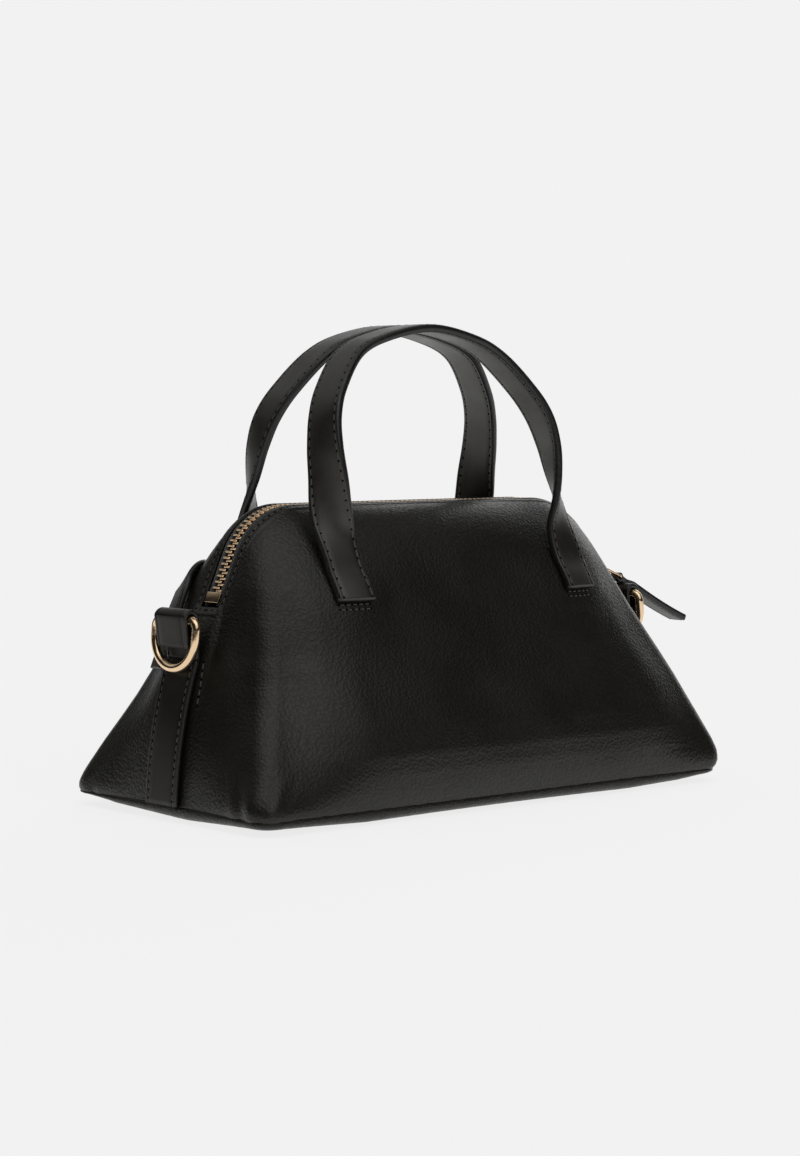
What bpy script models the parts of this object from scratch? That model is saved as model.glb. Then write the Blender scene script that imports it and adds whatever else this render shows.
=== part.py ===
"""Small zip-top tote bag of black leather, built from separate pieces.

The body is wide at the base and narrow at the top. A zip runs over the top and part of the way
down both ends. The right end stands more upright than the left, as a soft bag does. Two strap
handles stand on the panels, and a D-ring hangs at each end.

X runs along the bag, -Y is its front, +Z is up. The origin is the middle of the base's flat
underside. Lengths are in metres.
"""

import math

import bmesh
import bpy
from mathutils import Matrix, Vector

MM = 0.001

# Clearances
SEAT_GAP = 0.3 * MM
PIN_CLEARANCE = 0.35 * MM
JOIN_OVERLAP = 0.2 * MM

# Body outline
BASE_LENGTH = 264 * MM
BASE_DEPTH = 133 * MM
BASE_CORNER_RADIUS = 9 * MM
SEAM_HEIGHT = 6 * MM
TOP_HEIGHT = 129 * MM
PANEL_THICKNESS = 1.5 * MM

# Shape of the panels between base seam and zip, at stations from the side seam to the middle
STATION_SHARES = (0.0, 0.15, 0.33, 0.5, 0.75, 1.0)
RISE_SHARES = (0.366, 0.325, 0.276, 0.39, 0.537, 0.585)
LEAN_DEGREES = (2, 8, 24, 17, 14, 14)
CREST_SHARES = (0.09, 0.135, 0.165, 0.286, 0.39, 0.42)
TURN_SHARE = 0.09
LOW_ROW_SHARES = (0.0, 0.12, 0.26, 0.4, 0.54, 0.67, 0.78)

# Zip line
LEFT_ZIP_END_X = 108 * MM
LEFT_ZIP_SLOPE = math.radians(66)
LEFT_SHOULDER_RADIUS = 32 * MM
RIGHT_ZIP_END_X = 122 * MM
RIGHT_ZIP_SLOPE = math.radians(50)
RIGHT_SHOULDER_RADIUS = 40 * MM
ZIP_END_HEIGHT = 87 * MM
ZIP_HALF_GAP = 6 * MM

# Base
BASE_PANEL_THICKNESS = 1.8 * MM
BOARD_THICKNESS = 2 * MM
BOARD_MARGIN = 2 * MM
LEAST_CORNER_SHARE = 0.2

# Lining
LINING_THICKNESS = 0.8 * MM
LINING_FOOT_SHARE = 0.97
LINING_ALONG_SHARES = (0.0, 0.09, 0.18, 0.27, 0.335, 0.4, 0.52, 0.64, 0.76, 0.88, 1.0)
LINING_UP_SHARES = (0.0, 0.2, 0.4, 0.6, 0.8, 1.0)
LINING_LOW_SHARE = 0.02
LINING_TOP_SHARE = 0.95
LINING_END_TOP_SHARE = 0.7
LINING_LEVEL_SHARE = 0.25
POCKET_THICKNESS = 0.8 * MM
POCKET_ALONG_SHARES = LINING_ALONG_SHARES[7:]
POCKET_UP_SHARES = LINING_UP_SHARES[1:4]

# Zip tape and teeth
TAPE_THICKNESS = 0.6 * MM
TAPE_DEPTH = 0.7 * MM
TAPE_FLAT_END = 4.8 * MM
TAPE_BEND_END = 5.5 * MM
TAPE_END_INSET = 1.0 * MM
TAPE_WIDEN_LENGTH = 9 * MM
TAPE_COVER_SHARES = (0.95, 0.88)
TOOTH_PITCH = 2.7 * MM
TOOTH_THICKNESS = 1.0 * MM
TOOTH_HEIGHT = 2.4 * MM
TOOTH_HEAD_HEIGHT = 1.8 * MM
TOOTH_DEPTH = 1.0 * MM
TOOTH_REACH = 0.9 * MM
CHAIN_HALF_WIDTH = 3.15 * MM
SPINE_WIDTH = 0.95 * MM
TEETH_START = 7 * MM
STOP_WING = 1.45 * MM
STOP_WALL = 0.6 * MM
BOTTOM_STOP_LENGTH = 4.6 * MM
TOP_STOP_LENGTH = 2.0 * MM
TOP_STOP_WIDTH = 0.6 * MM

# Slider, bail and puller
SLIDER_INSET = 9 * MM
SLIDER_LENGTH = 10 * MM
SLIDER_PLATE = 0.9 * MM
SLIDER_FLANGE = 0.9 * MM
SLIDER_POST_WIDTH = 2.4 * MM
SLIDER_POST_LENGTH = 2.2 * MM
LUG_LENGTH = 5.6 * MM
LUG_WIDTH = 1.8 * MM
LUG_WALL = 0.9 * MM
BAIL_WIRE = 1.4 * MM
BAIL_WIDTH = 8.6 * MM
BAIL_REACH = 15 * MM
BAIL_CORNER_RADIUS = 1.8 * MM
PULLER_LENGTH = 50 * MM
PULLER_WIDTH = 10.5 * MM
PULLER_THICKNESS = 3.2 * MM
PULLER_HEAD_WALL = 1.1 * MM
PULLER_HEAD_LENGTH = 5 * MM
PULLER_SHOULDER = 3 * MM
PULLER_HEAD_SHARE = 0.8

# Side straps and D-rings
SIDE_STRAP_WIDTH = 21 * MM
SIDE_STRAP_THICKNESS = 2.2 * MM
STRAP_FOOT_SHARE = 0.004
TAB_TAIL_DROP = 11.5 * MM
STRAP_LEAVE_DROP = 5.5 * MM
TAB_TAIL_THICKNESS = 2.0 * MM
LEFT_RING_REACH = 17.5 * MM
RIGHT_RING_REACH = 11 * MM
RING_AXIS_HEIGHT = 83 * MM
RING_WIRE = 3.7 * MM
RING_WIDTH = 28 * MM
RING_DROP = 20.4 * MM
RING_ARM = 7.5 * MM
RING_CORNER_RADIUS = 4 * MM
RING_TILT = math.radians(5)

# Handles
HANDLE_WIDTH = 18 * MM
HANDLE_THICKNESS = 3.5 * MM
HANDLE_EDGE = 1.1 * MM
HANDLE_FOOT_X = 65 * MM
HANDLE_FOOT_HEIGHT = 90 * MM
HANDLE_HINGE_HEIGHT = 99 * MM
HANDLE_APEX_HEIGHT = 204.6 * MM
HANDLE_APEX_Y = 9.6 * MM
# Each row: shares of the way in X, Y and Z from a leg's hinge to the apex
HANDLE_ROUTE_SHARES = (
    (0.000, 0.000, 0.000),
    (0.000, 0.240, 0.144),
    (-0.015, 0.340, 0.262),
    (-0.010, 0.415, 0.387),
    (0.000, 0.520, 0.518),
    (0.045, 0.645, 0.639),
    (0.153, 0.800, 0.754),
    (0.362, 0.975, 0.890),
    (0.615, 0.995, 0.960),
    (1.000, 1.000, 1.000),
)
HANDLE_TURN_DEGREES = (0, 4, 32, 56, 72, 84, 89, 90, 90, 90)
HANDLE_STEPS = 16
HANDLE_END_DEGREES = (75, 50, 25)

# The end of the shoulder strap, laid over the rear of the left shoulder
SHOULDER_WIDTH = 12 * MM
SHOULDER_THICKNESS = 2.4 * MM
SHOULDER_EDGE = 0.8 * MM
SHOULDER_RISE = 6 * MM
# Each row: share along the panel from the side seam, share up it, and share of the rise off it
SHOULDER_ROUTE_SHARES = (
    (0.50, 0.42, 0.0),
    (0.47, 0.54, 0.0),
    (0.43, 0.64, 0.15),
    (0.38, 0.70, 0.4),
    (0.33, 0.71, 0.7),
    (0.285, 0.69, 0.95),
    (0.25, 0.64, 1.0),
    (0.22, 0.57, 0.8),
    (0.195, 0.49, 0.4),
    (0.18, 0.42, 0.0),
)
SHOULDER_STEPS = 28

BLACK_LEATHER = ("leather_black", (0.012, 0.011, 0.010), 0.42, 0.0)
STRAP_LEATHER = ("leather_strap", (0.016, 0.014, 0.013), 0.38, 0.0)
LIGHT_GOLD = ("light_gold", (0.83, 0.62, 0.42), 0.2, 1.0)
TAPE_BLACK = ("tape_black", (0.010, 0.010, 0.010), 0.8, 0.0)
LINING_BLACK = ("lining_black", (0.03, 0.03, 0.032), 0.85, 0.0)
BOARD_GREY = ("board_grey", (0.25, 0.24, 0.22), 0.9, 0.0)


def clear_scene():
    for obj in list(bpy.data.objects):
        bpy.data.objects.remove(obj, do_unlink=True)


def make_collection(name):
    collection = bpy.data.collections.new(name)
    bpy.context.scene.collection.children.link(collection)
    return collection


clear_scene()
PARTS = make_collection("tote_bag")
CUTTERS = make_collection("cutters")


def material(finish):
    name, colour, roughness, metallic = finish
    found = bpy.data.materials.get(name)
    if found:
        return found
    made = bpy.data.materials.new(name)
    made.use_nodes = True
    shader = made.node_tree.nodes["Principled BSDF"]
    shader.inputs["Base Color"].default_value = (*colour, 1)
    shader.inputs["Roughness"].default_value = roughness
    shader.inputs["Metallic"].default_value = metallic
    return made


def link(name, data, finish, collection=PARTS, origin=(0, 0, 0)):
    obj = bpy.data.objects.new(name, data)
    obj.location = origin
    collection.objects.link(obj)
    data.materials.append(material(finish))
    if collection is CUTTERS:
        obj.hide_render = True
        obj.display_type = "WIRE"
    return obj


def mesh_object(name, bm, finish, collection=PARTS, origin=(0, 0, 0)):
    """A mesh of points given in the bag's frame, with its object's origin where asked."""
    bmesh.ops.recalc_face_normals(bm, faces=bm.faces)
    mesh = bpy.data.meshes.new(name)
    bm.to_mesh(mesh)
    bm.free()
    mesh.transform(Matrix.Translation(-Vector(origin)))
    mesh.shade_smooth()
    mesh.set_sharp_from_angle(angle=math.radians(40))
    return link(name, mesh, finish, collection, origin)


def add_grid(bm, rows, closed=False):
    """Quads between rows of points. A closed grid joins each row's end to its start."""
    verts = [[bm.verts.new(point) for point in row] for row in rows]
    columns = len(rows[0])
    for low, high in zip(verts, verts[1:]):
        for i in range(columns if closed else columns - 1):
            j = (i + 1) % columns
            bm.faces.new((low[i], low[j], high[j], high[i]))
    return verts


def loft(name, rings, finish, collection=PARTS, origin=(0, 0, 0)):
    """A closed body through rings of points, with a flat face at both ends."""
    bm = bmesh.new()
    verts = add_grid(bm, rings, closed=True)
    bm.faces.new(verts[0])
    bm.faces.new(verts[-1])
    return mesh_object(name, bm, finish, collection, origin)


def ring_prism(name, outer, inner, shift, finish, collection=PARTS, origin=(0, 0, 0)):
    """A body with one hole: two loops with as many points each, drawn out by a shift."""
    rings = [outer, inner, [p + shift for p in inner], [p + shift for p in outer], outer]
    bm = bmesh.new()
    verts = [[bm.verts.new(point) for point in ring] for ring in rings[:-1]]
    verts.append(verts[0])
    for low, high in zip(verts, verts[1:]):
        for i in range(len(outer)):
            j = (i + 1) % len(outer)
            bm.faces.new((low[i], low[j], high[j], high[i]))
    return mesh_object(name, bm, finish, collection, origin)


def face_toward(obj, way):
    """Turn an open surface over, if its furthest face that way looks back."""
    way = Vector(way)
    furthest = max(obj.data.polygons, key=lambda face: face.center.dot(way))
    if furthest.normal.dot(way) < 0:
        obj.data.flip_normals()
    return obj


def solidify(obj, thickness, offset=-1):
    modifier = obj.modifiers.new("wall", "SOLIDIFY")
    modifier.thickness = thickness
    modifier.offset = offset
    return obj


def join(obj, others):
    for other in others:
        modifier = obj.modifiers.new(other.name, "BOOLEAN")
        modifier.operation = "UNION"
        modifier.solver = "EXACT"
        modifier.object = other
    return obj


def spaced(start, end, count):
    return [start + (end - start) * i / (count - 1) for i in range(count)]


def smooth_step(share):
    share = min(max(share, 0.0), 1.0)
    return share * share * (3 - 2 * share)


def mix(start, end, share):
    return start * (1 - share) + end * share


def through(stations, values, at):
    """The value at a station, on a smooth curve through the values."""
    last = len(stations) - 1
    i = max(k for k in range(last) if at >= stations[k] or k == 0)

    def slope(k):
        low, high = max(k - 1, 0), min(k + 1, last)
        return (values[high] - values[low]) / (stations[high] - stations[low])

    width = stations[i + 1] - stations[i]
    share = (at - stations[i]) / width
    square, cube = share * share, share * share * share
    return (
        (2 * cube - 3 * square + 1) * values[i]
        + (cube - 2 * square + share) * width * slope(i)
        + (3 * square - 2 * cube) * values[i + 1]
        + (cube - square) * width * slope(i + 1)
    )


# Body surface

SIDE_STRAIGHT = BASE_DEPTH / 2 - BASE_CORNER_RADIUS
CORNER_ARC = BASE_CORNER_RADIUS * math.pi / 2
BASE_QUARTER = SIDE_STRAIGHT + CORNER_ARC + BASE_LENGTH / 2 - BASE_CORNER_RADIUS
BODY_RISE = TOP_HEIGHT - SEAM_HEIGHT


class BodyEnd:
    """One end of the bag. Its front quarter is worked out, and the rear one mirrors it.

    A share along runs from the side seam, 0, to the middle of the front, 1. A share up runs
    from the base seam, 0, to the edge beside the zip, 1.
    """

    def __init__(self, side, zip_end_x, slope, radius, ring_reach):
        self.side = side
        self.zip_end_x = zip_end_x
        self.slope = slope
        self.radius = radius
        self.ring_x = side * (zip_end_x + ring_reach)
        rise = radius * (1 - math.cos(slope))
        self.slope_length = (TOP_HEIGHT - ZIP_END_HEIGHT - rise) / math.sin(slope)
        self.arc = radius * slope
        self.ridge = zip_end_x - self.slope_length * math.cos(slope) - radius * math.sin(slope)
        self.zip_length = self.slope_length + self.arc + self.ridge
        self.edge_length = ZIP_HALF_GAP + self.zip_length

    def base_outline(self, distance):
        """The base seam, from the side seam to the middle of the front."""
        inset = 0
        y = -distance
        if distance > SIDE_STRAIGHT + CORNER_ARC:
            inset = BASE_CORNER_RADIUS + distance - SIDE_STRAIGHT - CORNER_ARC
            y = -BASE_DEPTH / 2
        elif distance > SIDE_STRAIGHT:
            turn = (distance - SIDE_STRAIGHT) / BASE_CORNER_RADIUS
            inset = BASE_CORNER_RADIUS * (1 - math.cos(turn))
            y = -SIDE_STRAIGHT - BASE_CORNER_RADIUS * math.sin(turn)
        return Vector((self.side * (BASE_LENGTH / 2 - inset), y, SEAM_HEIGHT))

    def zip_line(self, distance):
        """Point of the zip at a distance from its end, the way to the middle and the way out."""
        if distance < self.slope_length:
            angle = self.slope
            x = self.zip_end_x - distance * math.cos(angle)
            z = ZIP_END_HEIGHT + distance * math.sin(angle)
        elif distance < self.slope_length + self.arc:
            angle = self.slope - (distance - self.slope_length) / self.radius
            x = self.ridge + self.radius * math.sin(angle)
            z = TOP_HEIGHT - self.radius * (1 - math.cos(angle))
        else:
            angle = 0
            x = self.zip_length - distance
            z = TOP_HEIGHT
        return (
            Vector((self.side * x, 0, z)),
            Vector((-self.side * math.cos(angle), 0, math.sin(angle))),
            Vector((self.side * math.sin(angle), 0, math.cos(angle))),
        )

    def zip_edge(self, distance):
        """The panel's edge, round the zip's end from its middle and then beside the zip."""
        if distance < ZIP_HALF_GAP:
            return Vector((self.side * self.zip_end_x, -distance, ZIP_END_HEIGHT))
        point = self.zip_line(distance - ZIP_HALF_GAP)[0]
        return Vector((point.x, -ZIP_HALF_GAP, point.z))

    def point(self, along, up):
        base = self.base_outline(along * BASE_QUARTER)
        edge = self.zip_edge(along * self.edge_length)
        inward = Vector((edge.x - base.x, edge.y - base.y, 0)).normalized()
        lean = math.radians(through(STATION_SHARES, LEAN_DEGREES, along))
        rise = through(STATION_SHARES, RISE_SHARES, along) * BODY_RISE
        crest = through(STATION_SHARES, CREST_SHARES, along) * BASE_DEPTH / 2
        turn = smooth_step(along / TURN_SHARE) * math.pi / 2
        leave = Vector((self.side * math.cos(turn), -math.sin(turn), 0))
        low = base + (inward * math.sin(lean) + Vector((0, 0, math.cos(lean)))) * rise
        high = edge + leave * crest
        down = 1 - up
        return (
            base * down**3
            + low * 3 * up * down**2
            + high * 3 * up**2 * down
            + edge * up**3
        )

    def normal(self, along, up):
        step_share = 0.002
        ahead, behind = min(along + step_share, 1), max(along - step_share, 0)
        over, under = min(up + step_share, 1), max(up - step_share, 0)
        run = self.point(ahead, up) - self.point(behind, up)
        normal = run.cross(self.point(along, over) - self.point(along, under)) * -self.side
        if along <= step_share:
            normal.y = 0
        if along >= 1 - step_share:
            normal.x = 0
        return normal.normalized()

    def inside(self, along, up, depth):
        """A point this deep under the body's surface."""
        return self.point(along, up) - self.normal(along, up) * depth

    def stations(self):
        """Shares along, closer together where the outline turns."""
        end = ZIP_HALF_GAP / self.edge_length
        corner = SIDE_STRAIGHT / BASE_QUARTER
        corner_end = (SIDE_STRAIGHT + CORNER_ARC) / BASE_QUARTER
        shoulder_end = 1 - self.ridge / self.edge_length
        return (
            spaced(0.0, end, 3)
            + spaced(end, corner, 6)[1:]
            + spaced(corner, corner_end, 3)[1:]
            + spaced(corner_end, shoulder_end, 4)[1:]
            + spaced(shoulder_end, 1.0, 7)[1:]
        )


LEFT = BodyEnd(-1, LEFT_ZIP_END_X, LEFT_ZIP_SLOPE, LEFT_SHOULDER_RADIUS, LEFT_RING_REACH)
RIGHT = BodyEnd(1, RIGHT_ZIP_END_X, RIGHT_ZIP_SLOPE, RIGHT_SHOULDER_RADIUS, RIGHT_RING_REACH)
ZIP_LENGTH = LEFT.zip_length + RIGHT.zip_length


def zip_frame(distance):
    """Point of the whole zip at a distance from its left end, the way right and the way out."""
    if distance < LEFT.zip_length:
        return LEFT.zip_line(distance)
    point, along, out = RIGHT.zip_line(ZIP_LENGTH - distance)
    return point, -along, out


def front_row(point_at, left_shares, right_shares):
    """A row of points over the whole front, from the left side seam to the right one."""
    left = [point_at(LEFT, along) for along in left_shares]
    right = [point_at(RIGHT, along) for along in reversed(right_shares[:-1])]
    return left + right


def build_panel(name, flip):
    rows = []
    for up in LOW_ROW_SHARES + TAPE_COVER_SHARES[::-1] + (1.0,):
        row = front_row(lambda end, along: end.point(along, up), LEFT.stations(), RIGHT.stations())
        rows.append([Vector((p.x, min(p.y, -SEAT_GAP / 2) * flip, p.z)) for p in row])
    bm = bmesh.new()
    add_grid(bm, rows)
    obj = mesh_object(name, bm, BLACK_LEATHER)
    return solidify(face_toward(obj, (0, -flip, 0)), PANEL_THICKNESS)


def inset_outline(inset, height, corner_steps=4):
    """The base outline drawn in by an inset, with its corners never quite sharp."""
    radius = max(BASE_CORNER_RADIUS - inset, BASE_CORNER_RADIUS * LEAST_CORNER_SHARE)
    points = []
    for quarter in range(4):
        x = (BASE_LENGTH / 2 - inset - radius) * (1 if quarter in (0, 3) else -1)
        y = (BASE_DEPTH / 2 - inset - radius) * (1 if quarter < 2 else -1)
        for i in range(corner_steps + 1):
            turn = (quarter + i / corner_steps) * math.pi / 2
            points.append(Vector((x + radius * math.cos(turn), y + radius * math.sin(turn), height)))
    return points


PANEL_DIP = PANEL_THICKNESS * math.sin(math.radians(max(LEAN_DEGREES)))
RIM_HEIGHT = SEAM_HEIGHT - PANEL_DIP - 2 * SEAT_GAP


def build_base_panel():
    """A tray: flat underneath, its edge rounded up to just below the leaning panels."""
    rim = RIM_HEIGHT
    rows = []
    for turn in spaced(0.0, math.pi / 2, 5):
        rows.append(inset_outline(rim * (1 - math.cos(turn)), rim * (1 - math.sin(turn))))
    bm = bmesh.new()
    verts = add_grid(bm, rows, closed=True)
    bm.faces.new(verts[-1])
    obj = mesh_object("base_panel", bm, BLACK_LEATHER)
    return solidify(face_toward(obj, (0, 0, -1)), BASE_PANEL_THICKNESS)


BOARD_BOTTOM = BASE_PANEL_THICKNESS + SEAT_GAP
BOARD_TOP = BOARD_BOTTOM + BOARD_THICKNESS
BOARD_INSET = SEAM_HEIGHT + BOARD_MARGIN
LINING_DEPTH = PANEL_THICKNESS + SEAT_GAP + TAPE_THICKNESS + SEAT_GAP
POCKET_DEPTH = LINING_DEPTH + LINING_THICKNESS + SEAT_GAP


def build_base_board():
    rings = [inset_outline(BOARD_INSET, height) for height in (BOARD_BOTTOM, BOARD_TOP)]
    return loft("base_board", rings, BOARD_GREY)


def lining_point(end, along, share, depth=LINING_DEPTH):
    """A point of the lining, whose mouth lies lower at the ends of the bag than elsewhere."""
    level = smooth_step(along / LINING_LEVEL_SHARE)
    top = mix(LINING_END_TOP_SHARE, LINING_TOP_SHARE, level)
    point = end.inside(along, mix(LINING_LOW_SHARE, top, share), depth)
    if along == 0:
        point.y = 0
    return point


def build_lining():
    """A bag inside the bag, open at its mouth under the zip, standing on the base board."""
    shares = LINING_ALONG_SHARES
    rows = []
    for share in LINING_UP_SHARES:
        front = front_row(lambda end, along: lining_point(end, along, share), shares, shares)
        rows.append(front + [Vector((p.x, -p.y, p.z)) for p in reversed(front[1:-1])])
    floor = BOARD_TOP + SEAT_GAP
    foot_share = LINING_FOOT_SHARE
    foot = [Vector((p.x * foot_share, p.y * foot_share, floor)) for p in rows[0]]
    bm = bmesh.new()
    verts = add_grid(bm, [foot] + rows, closed=True)
    bm.faces.new(verts[0])
    obj = mesh_object("lining", bm, LINING_BLACK)
    return solidify(face_toward(obj, (0, 0, -1)), LINING_THICKNESS)


def build_pocket():
    """A flat patch pocket on the lining's rear wall, open at its top."""

    def place(end, along):
        return lining_point(end, along, share, POCKET_DEPTH)

    rows = []
    for share in POCKET_UP_SHARES:
        row = front_row(place, POCKET_ALONG_SHARES, POCKET_ALONG_SHARES)
        rows.append([Vector((p.x, -p.y, p.z)) for p in row])
    bm = bmesh.new()
    add_grid(bm, rows)
    obj = mesh_object("inner_pocket", bm, LINING_BLACK)
    return solidify(face_toward(obj, (0, 1, 0)), POCKET_THICKNESS)


# Zip

UNDER_PANEL = PANEL_THICKNESS + SEAT_GAP + TAPE_THICKNESS / 2


def tape_section(end, distance):
    """Across the front tape: flat beside the teeth, then bent down under the panel's edge."""
    point, _, out = end.zip_line(distance)
    flat = [
        point + Vector((0, -y, 0)) - out * depth
        for y, depth in (
            (CHAIN_HALF_WIDTH + SEAT_GAP, TAPE_DEPTH),
            (TAPE_FLAT_END, TAPE_DEPTH),
            (TAPE_BEND_END, UNDER_PANEL),
        )
    ]
    widen = smooth_step((distance - TAPE_END_INSET) / TAPE_WIDEN_LENGTH)
    along = (ZIP_HALF_GAP + distance) / end.edge_length
    for i, up in enumerate(TAPE_COVER_SHARES):
        narrow = flat[2] - Vector((0, SEAT_GAP, 0)) * (i + 1) - out * SEAT_GAP * (i + 1)
        flat.append(mix(narrow, end.inside(along, up, UNDER_PANEL), widen))
    return flat


def tape_distances(end):
    """Where the tape has a section: at its end and at the panel's own stations."""
    along = [share * end.edge_length - ZIP_HALF_GAP for share in end.stations()]
    return [TAPE_END_INSET] + [d for d in along if d > 2 * TAPE_END_INSET]


def build_tape(name, flip):
    left = [tape_section(LEFT, distance) for distance in tape_distances(LEFT)]
    right = [tape_section(RIGHT, distance) for distance in tape_distances(RIGHT)[:-1]]
    rows = left + right[::-1]
    bm = bmesh.new()
    add_grid(bm, [[Vector((p.x, p.y * flip, p.z)) for p in row] for row in rows])
    return solidify(mesh_object(name, bm, TAPE_BLACK), TAPE_THICKNESS, 0)


TEETH_STOP = SLIDER_INSET - SLIDER_LENGTH / 2 + SLIDER_PLATE + SLIDER_POST_LENGTH + PIN_CLEARANCE


def build_teeth(name, flip, offset):
    """A row of teeth standing on one bead, each reaching past the middle of the zip."""
    count = int((ZIP_LENGTH - TEETH_START - TEETH_STOP - offset) / TOOTH_PITCH)
    half = TOOTH_THICKNESS / 2
    rings, heads = [], []
    for i in range(count):
        middle = TEETH_START + offset + TOOTH_PITCH * i + half
        for distance in (middle - half, middle + half):
            point, _, out = zip_frame(distance)
            centre = point - out * TOOTH_DEPTH
            up = out * TOOTH_HEIGHT / 2
            head_up = out * TOOTH_HEAD_HEIGHT / 2
            inner = Vector((0, -(CHAIN_HALF_WIDTH - SPINE_WIDTH) * flip, 0))
            outer = Vector((0, -CHAIN_HALF_WIDTH * flip, 0))
            tip = Vector((0, TOOTH_REACH * flip, 0))
            rings.append([centre + p for p in (inner + up, outer + up, outer - up, inner - up)])
            heads.append([centre + tip + head_up, centre + tip - head_up])
    bm = bmesh.new()
    verts = [[bm.verts.new(point) for point in ring] for ring in rings]
    bm.faces.new(verts[0])
    bm.faces.new(verts[-1])
    for i, (low, high) in enumerate(zip(verts, verts[1:])):
        for j in range(3):
            bm.faces.new((low[j], low[j + 1], high[j + 1], high[j]))
        if i % 2:
            bm.faces.new((low[3], low[0], high[0], high[3]))
            continue
        a, b = (bm.verts.new(point) for point in heads[i])
        c, d = (bm.verts.new(point) for point in heads[i + 1])
        bm.faces.new((a, b, d, c))
        bm.faces.new((low[0], a, c, high[0]))
        bm.faces.new((low[3], b, d, high[3]))
        bm.faces.new((low[0], a, b, low[3]))
        bm.faces.new((high[0], c, d, high[3]))
    return mesh_object(name, bm, LIGHT_GOLD)


def zip_block(name, end, start, length, section, finish=LIGHT_GOLD, collection=PARTS):
    """A section of (sideways, outwards) points drawn along a straight of the zip."""
    rings = []
    for distance in (start, start + length):
        point, _, out = end.zip_line(distance)
        rings.append([point + Vector((0, y, 0)) + out * z for y, z in section])
    return loft(name, rings, finish, collection)


TAPE_FACE = -TAPE_DEPTH + TAPE_THICKNESS / 2 + SEAT_GAP
TAPE_BACK = -TAPE_DEPTH - TAPE_THICKNESS / 2 - SEAT_GAP


def build_stops():
    """A block across both tapes at the left end, and a clamp on each tape at the right."""
    inner = CHAIN_HALF_WIDTH
    outer = CHAIN_HALF_WIDTH + STOP_WING
    top = TAPE_FACE + STOP_WALL
    bottom = TAPE_BACK - STOP_WALL
    half = [
        (outer, top),
        (outer, TAPE_FACE),
        (inner, TAPE_FACE),
        (inner, TAPE_BACK),
        (outer, TAPE_BACK),
        (outer, bottom),
    ]
    whole = half + [(-y, z) for y, z in reversed(half)]
    zip_block("zip_bottom_stop", LEFT, 2 * TAPE_END_INSET, BOTTOM_STOP_LENGTH, whole)
    clamp = half + [(inner - TOP_STOP_WIDTH, bottom), (inner - TOP_STOP_WIDTH, top)]
    for name, flip in (("zip_top_stop_front", -1), ("zip_top_stop_rear", 1)):
        section = [(y * flip, z) for y, z in clamp]
        zip_block(name, RIGHT, TAPE_END_INSET, TOP_STOP_LENGTH, section)


# Slider. Its own frame has X down the zip's slope, Z outwards and its origin on the zip line.

SLIDER_POINT, SLIDER_UP_SLOPE, SLIDER_OUT = RIGHT.zip_line(SLIDER_INSET)
TEETH_TOP = TOOTH_HEIGHT / 2 - TOOTH_DEPTH
TEETH_BOTTOM = -TOOTH_HEIGHT / 2 - TOOTH_DEPTH
PLATE_TOP = TEETH_TOP + SEAT_GAP + SLIDER_PLATE
PLATE_BOTTOM = TEETH_BOTTOM - SEAT_GAP - SLIDER_PLATE
EYE_RADIUS = BAIL_WIRE / 2 + PIN_CLEARANCE
EYE_HEIGHT = PLATE_TOP + SEAT_GAP + EYE_RADIUS
EYE_POINT = SLIDER_POINT + SLIDER_OUT * EYE_HEIGHT


def on_slider(x, y, z):
    return SLIDER_POINT - SLIDER_UP_SLOPE * x + Vector((0, y, 0)) + SLIDER_OUT * z


def slider_channel(name, face, back, flange_end, collection):
    """A plate with a flange down each side, drawn along the slider's length."""
    inner = CHAIN_HALF_WIDTH + PIN_CLEARANCE
    outer = inner + SLIDER_FLANGE
    half = [(inner, back), (inner, flange_end), (outer, flange_end), (outer, face)]
    section = half + [(-y, z) for y, z in reversed(half)]
    rings = [
        [on_slider(x, y, z) for y, z in section]
        for x in (-SLIDER_LENGTH / 2, SLIDER_LENGTH / 2)
    ]
    return loft(name, rings, LIGHT_GOLD, collection)


def eye_loops(outer_points, place, points=12):
    """An outer loop, and a round eye of as many points about its frame's origin."""
    circle = [
        (EYE_RADIUS * math.cos(turn), EYE_RADIUS * math.sin(turn))
        for turn in (math.tau * i / points for i in range(points))
    ]
    return [place(x, z) for x, z in outer_points], [place(x, z) for x, z in circle]


def round_points(radius, first, last, step=30):
    """Points of a circle from one angle to another, in degrees."""
    return [
        (radius * math.cos(math.radians(a)), radius * math.sin(math.radians(a)))
        for a in range(first, last + step, step)
    ]


def build_slider():
    body = slider_channel(
        "slider_body", PLATE_TOP, PLATE_TOP - SLIDER_PLATE, TAPE_FACE, PARTS
    )
    under = slider_channel(
        "slider_under", PLATE_BOTTOM, PLATE_BOTTOM + SLIDER_PLATE, TAPE_BACK, CUTTERS
    )
    post_end = SLIDER_LENGTH / 2 - SLIDER_PLATE
    post_rings = [
        [
            on_slider(x, y, z)
            for x, y in (
                (post_end, SLIDER_POST_WIDTH / 2),
                (post_end, -SLIDER_POST_WIDTH / 2),
                (post_end - SLIDER_POST_LENGTH, -SLIDER_POST_WIDTH / 3),
                (post_end - SLIDER_POST_LENGTH, SLIDER_POST_WIDTH / 3),
            )
        ]
        for z in (PLATE_BOTTOM + JOIN_OVERLAP, PLATE_TOP - JOIN_OVERLAP)
    ]
    post = loft("slider_post", post_rings, LIGHT_GOLD, CUTTERS)
    foot = -EYE_RADIUS - SEAT_GAP - JOIN_OVERLAP
    half = LUG_LENGTH / 2
    arch = round_points(EYE_RADIUS + LUG_WALL, 0, 180)
    arch += [(x, foot) for x in (-half, -half / 2, 0, half / 2, half)]
    loops = eye_loops(arch, lambda x, z: on_slider(x, -LUG_WIDTH / 2, EYE_HEIGHT + z))
    lug = ring_prism("slider_lug", *loops, Vector((0, LUG_WIDTH, 0)), LIGHT_GOLD, CUTTERS)
    return join(body, [under, post, lug])


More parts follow.
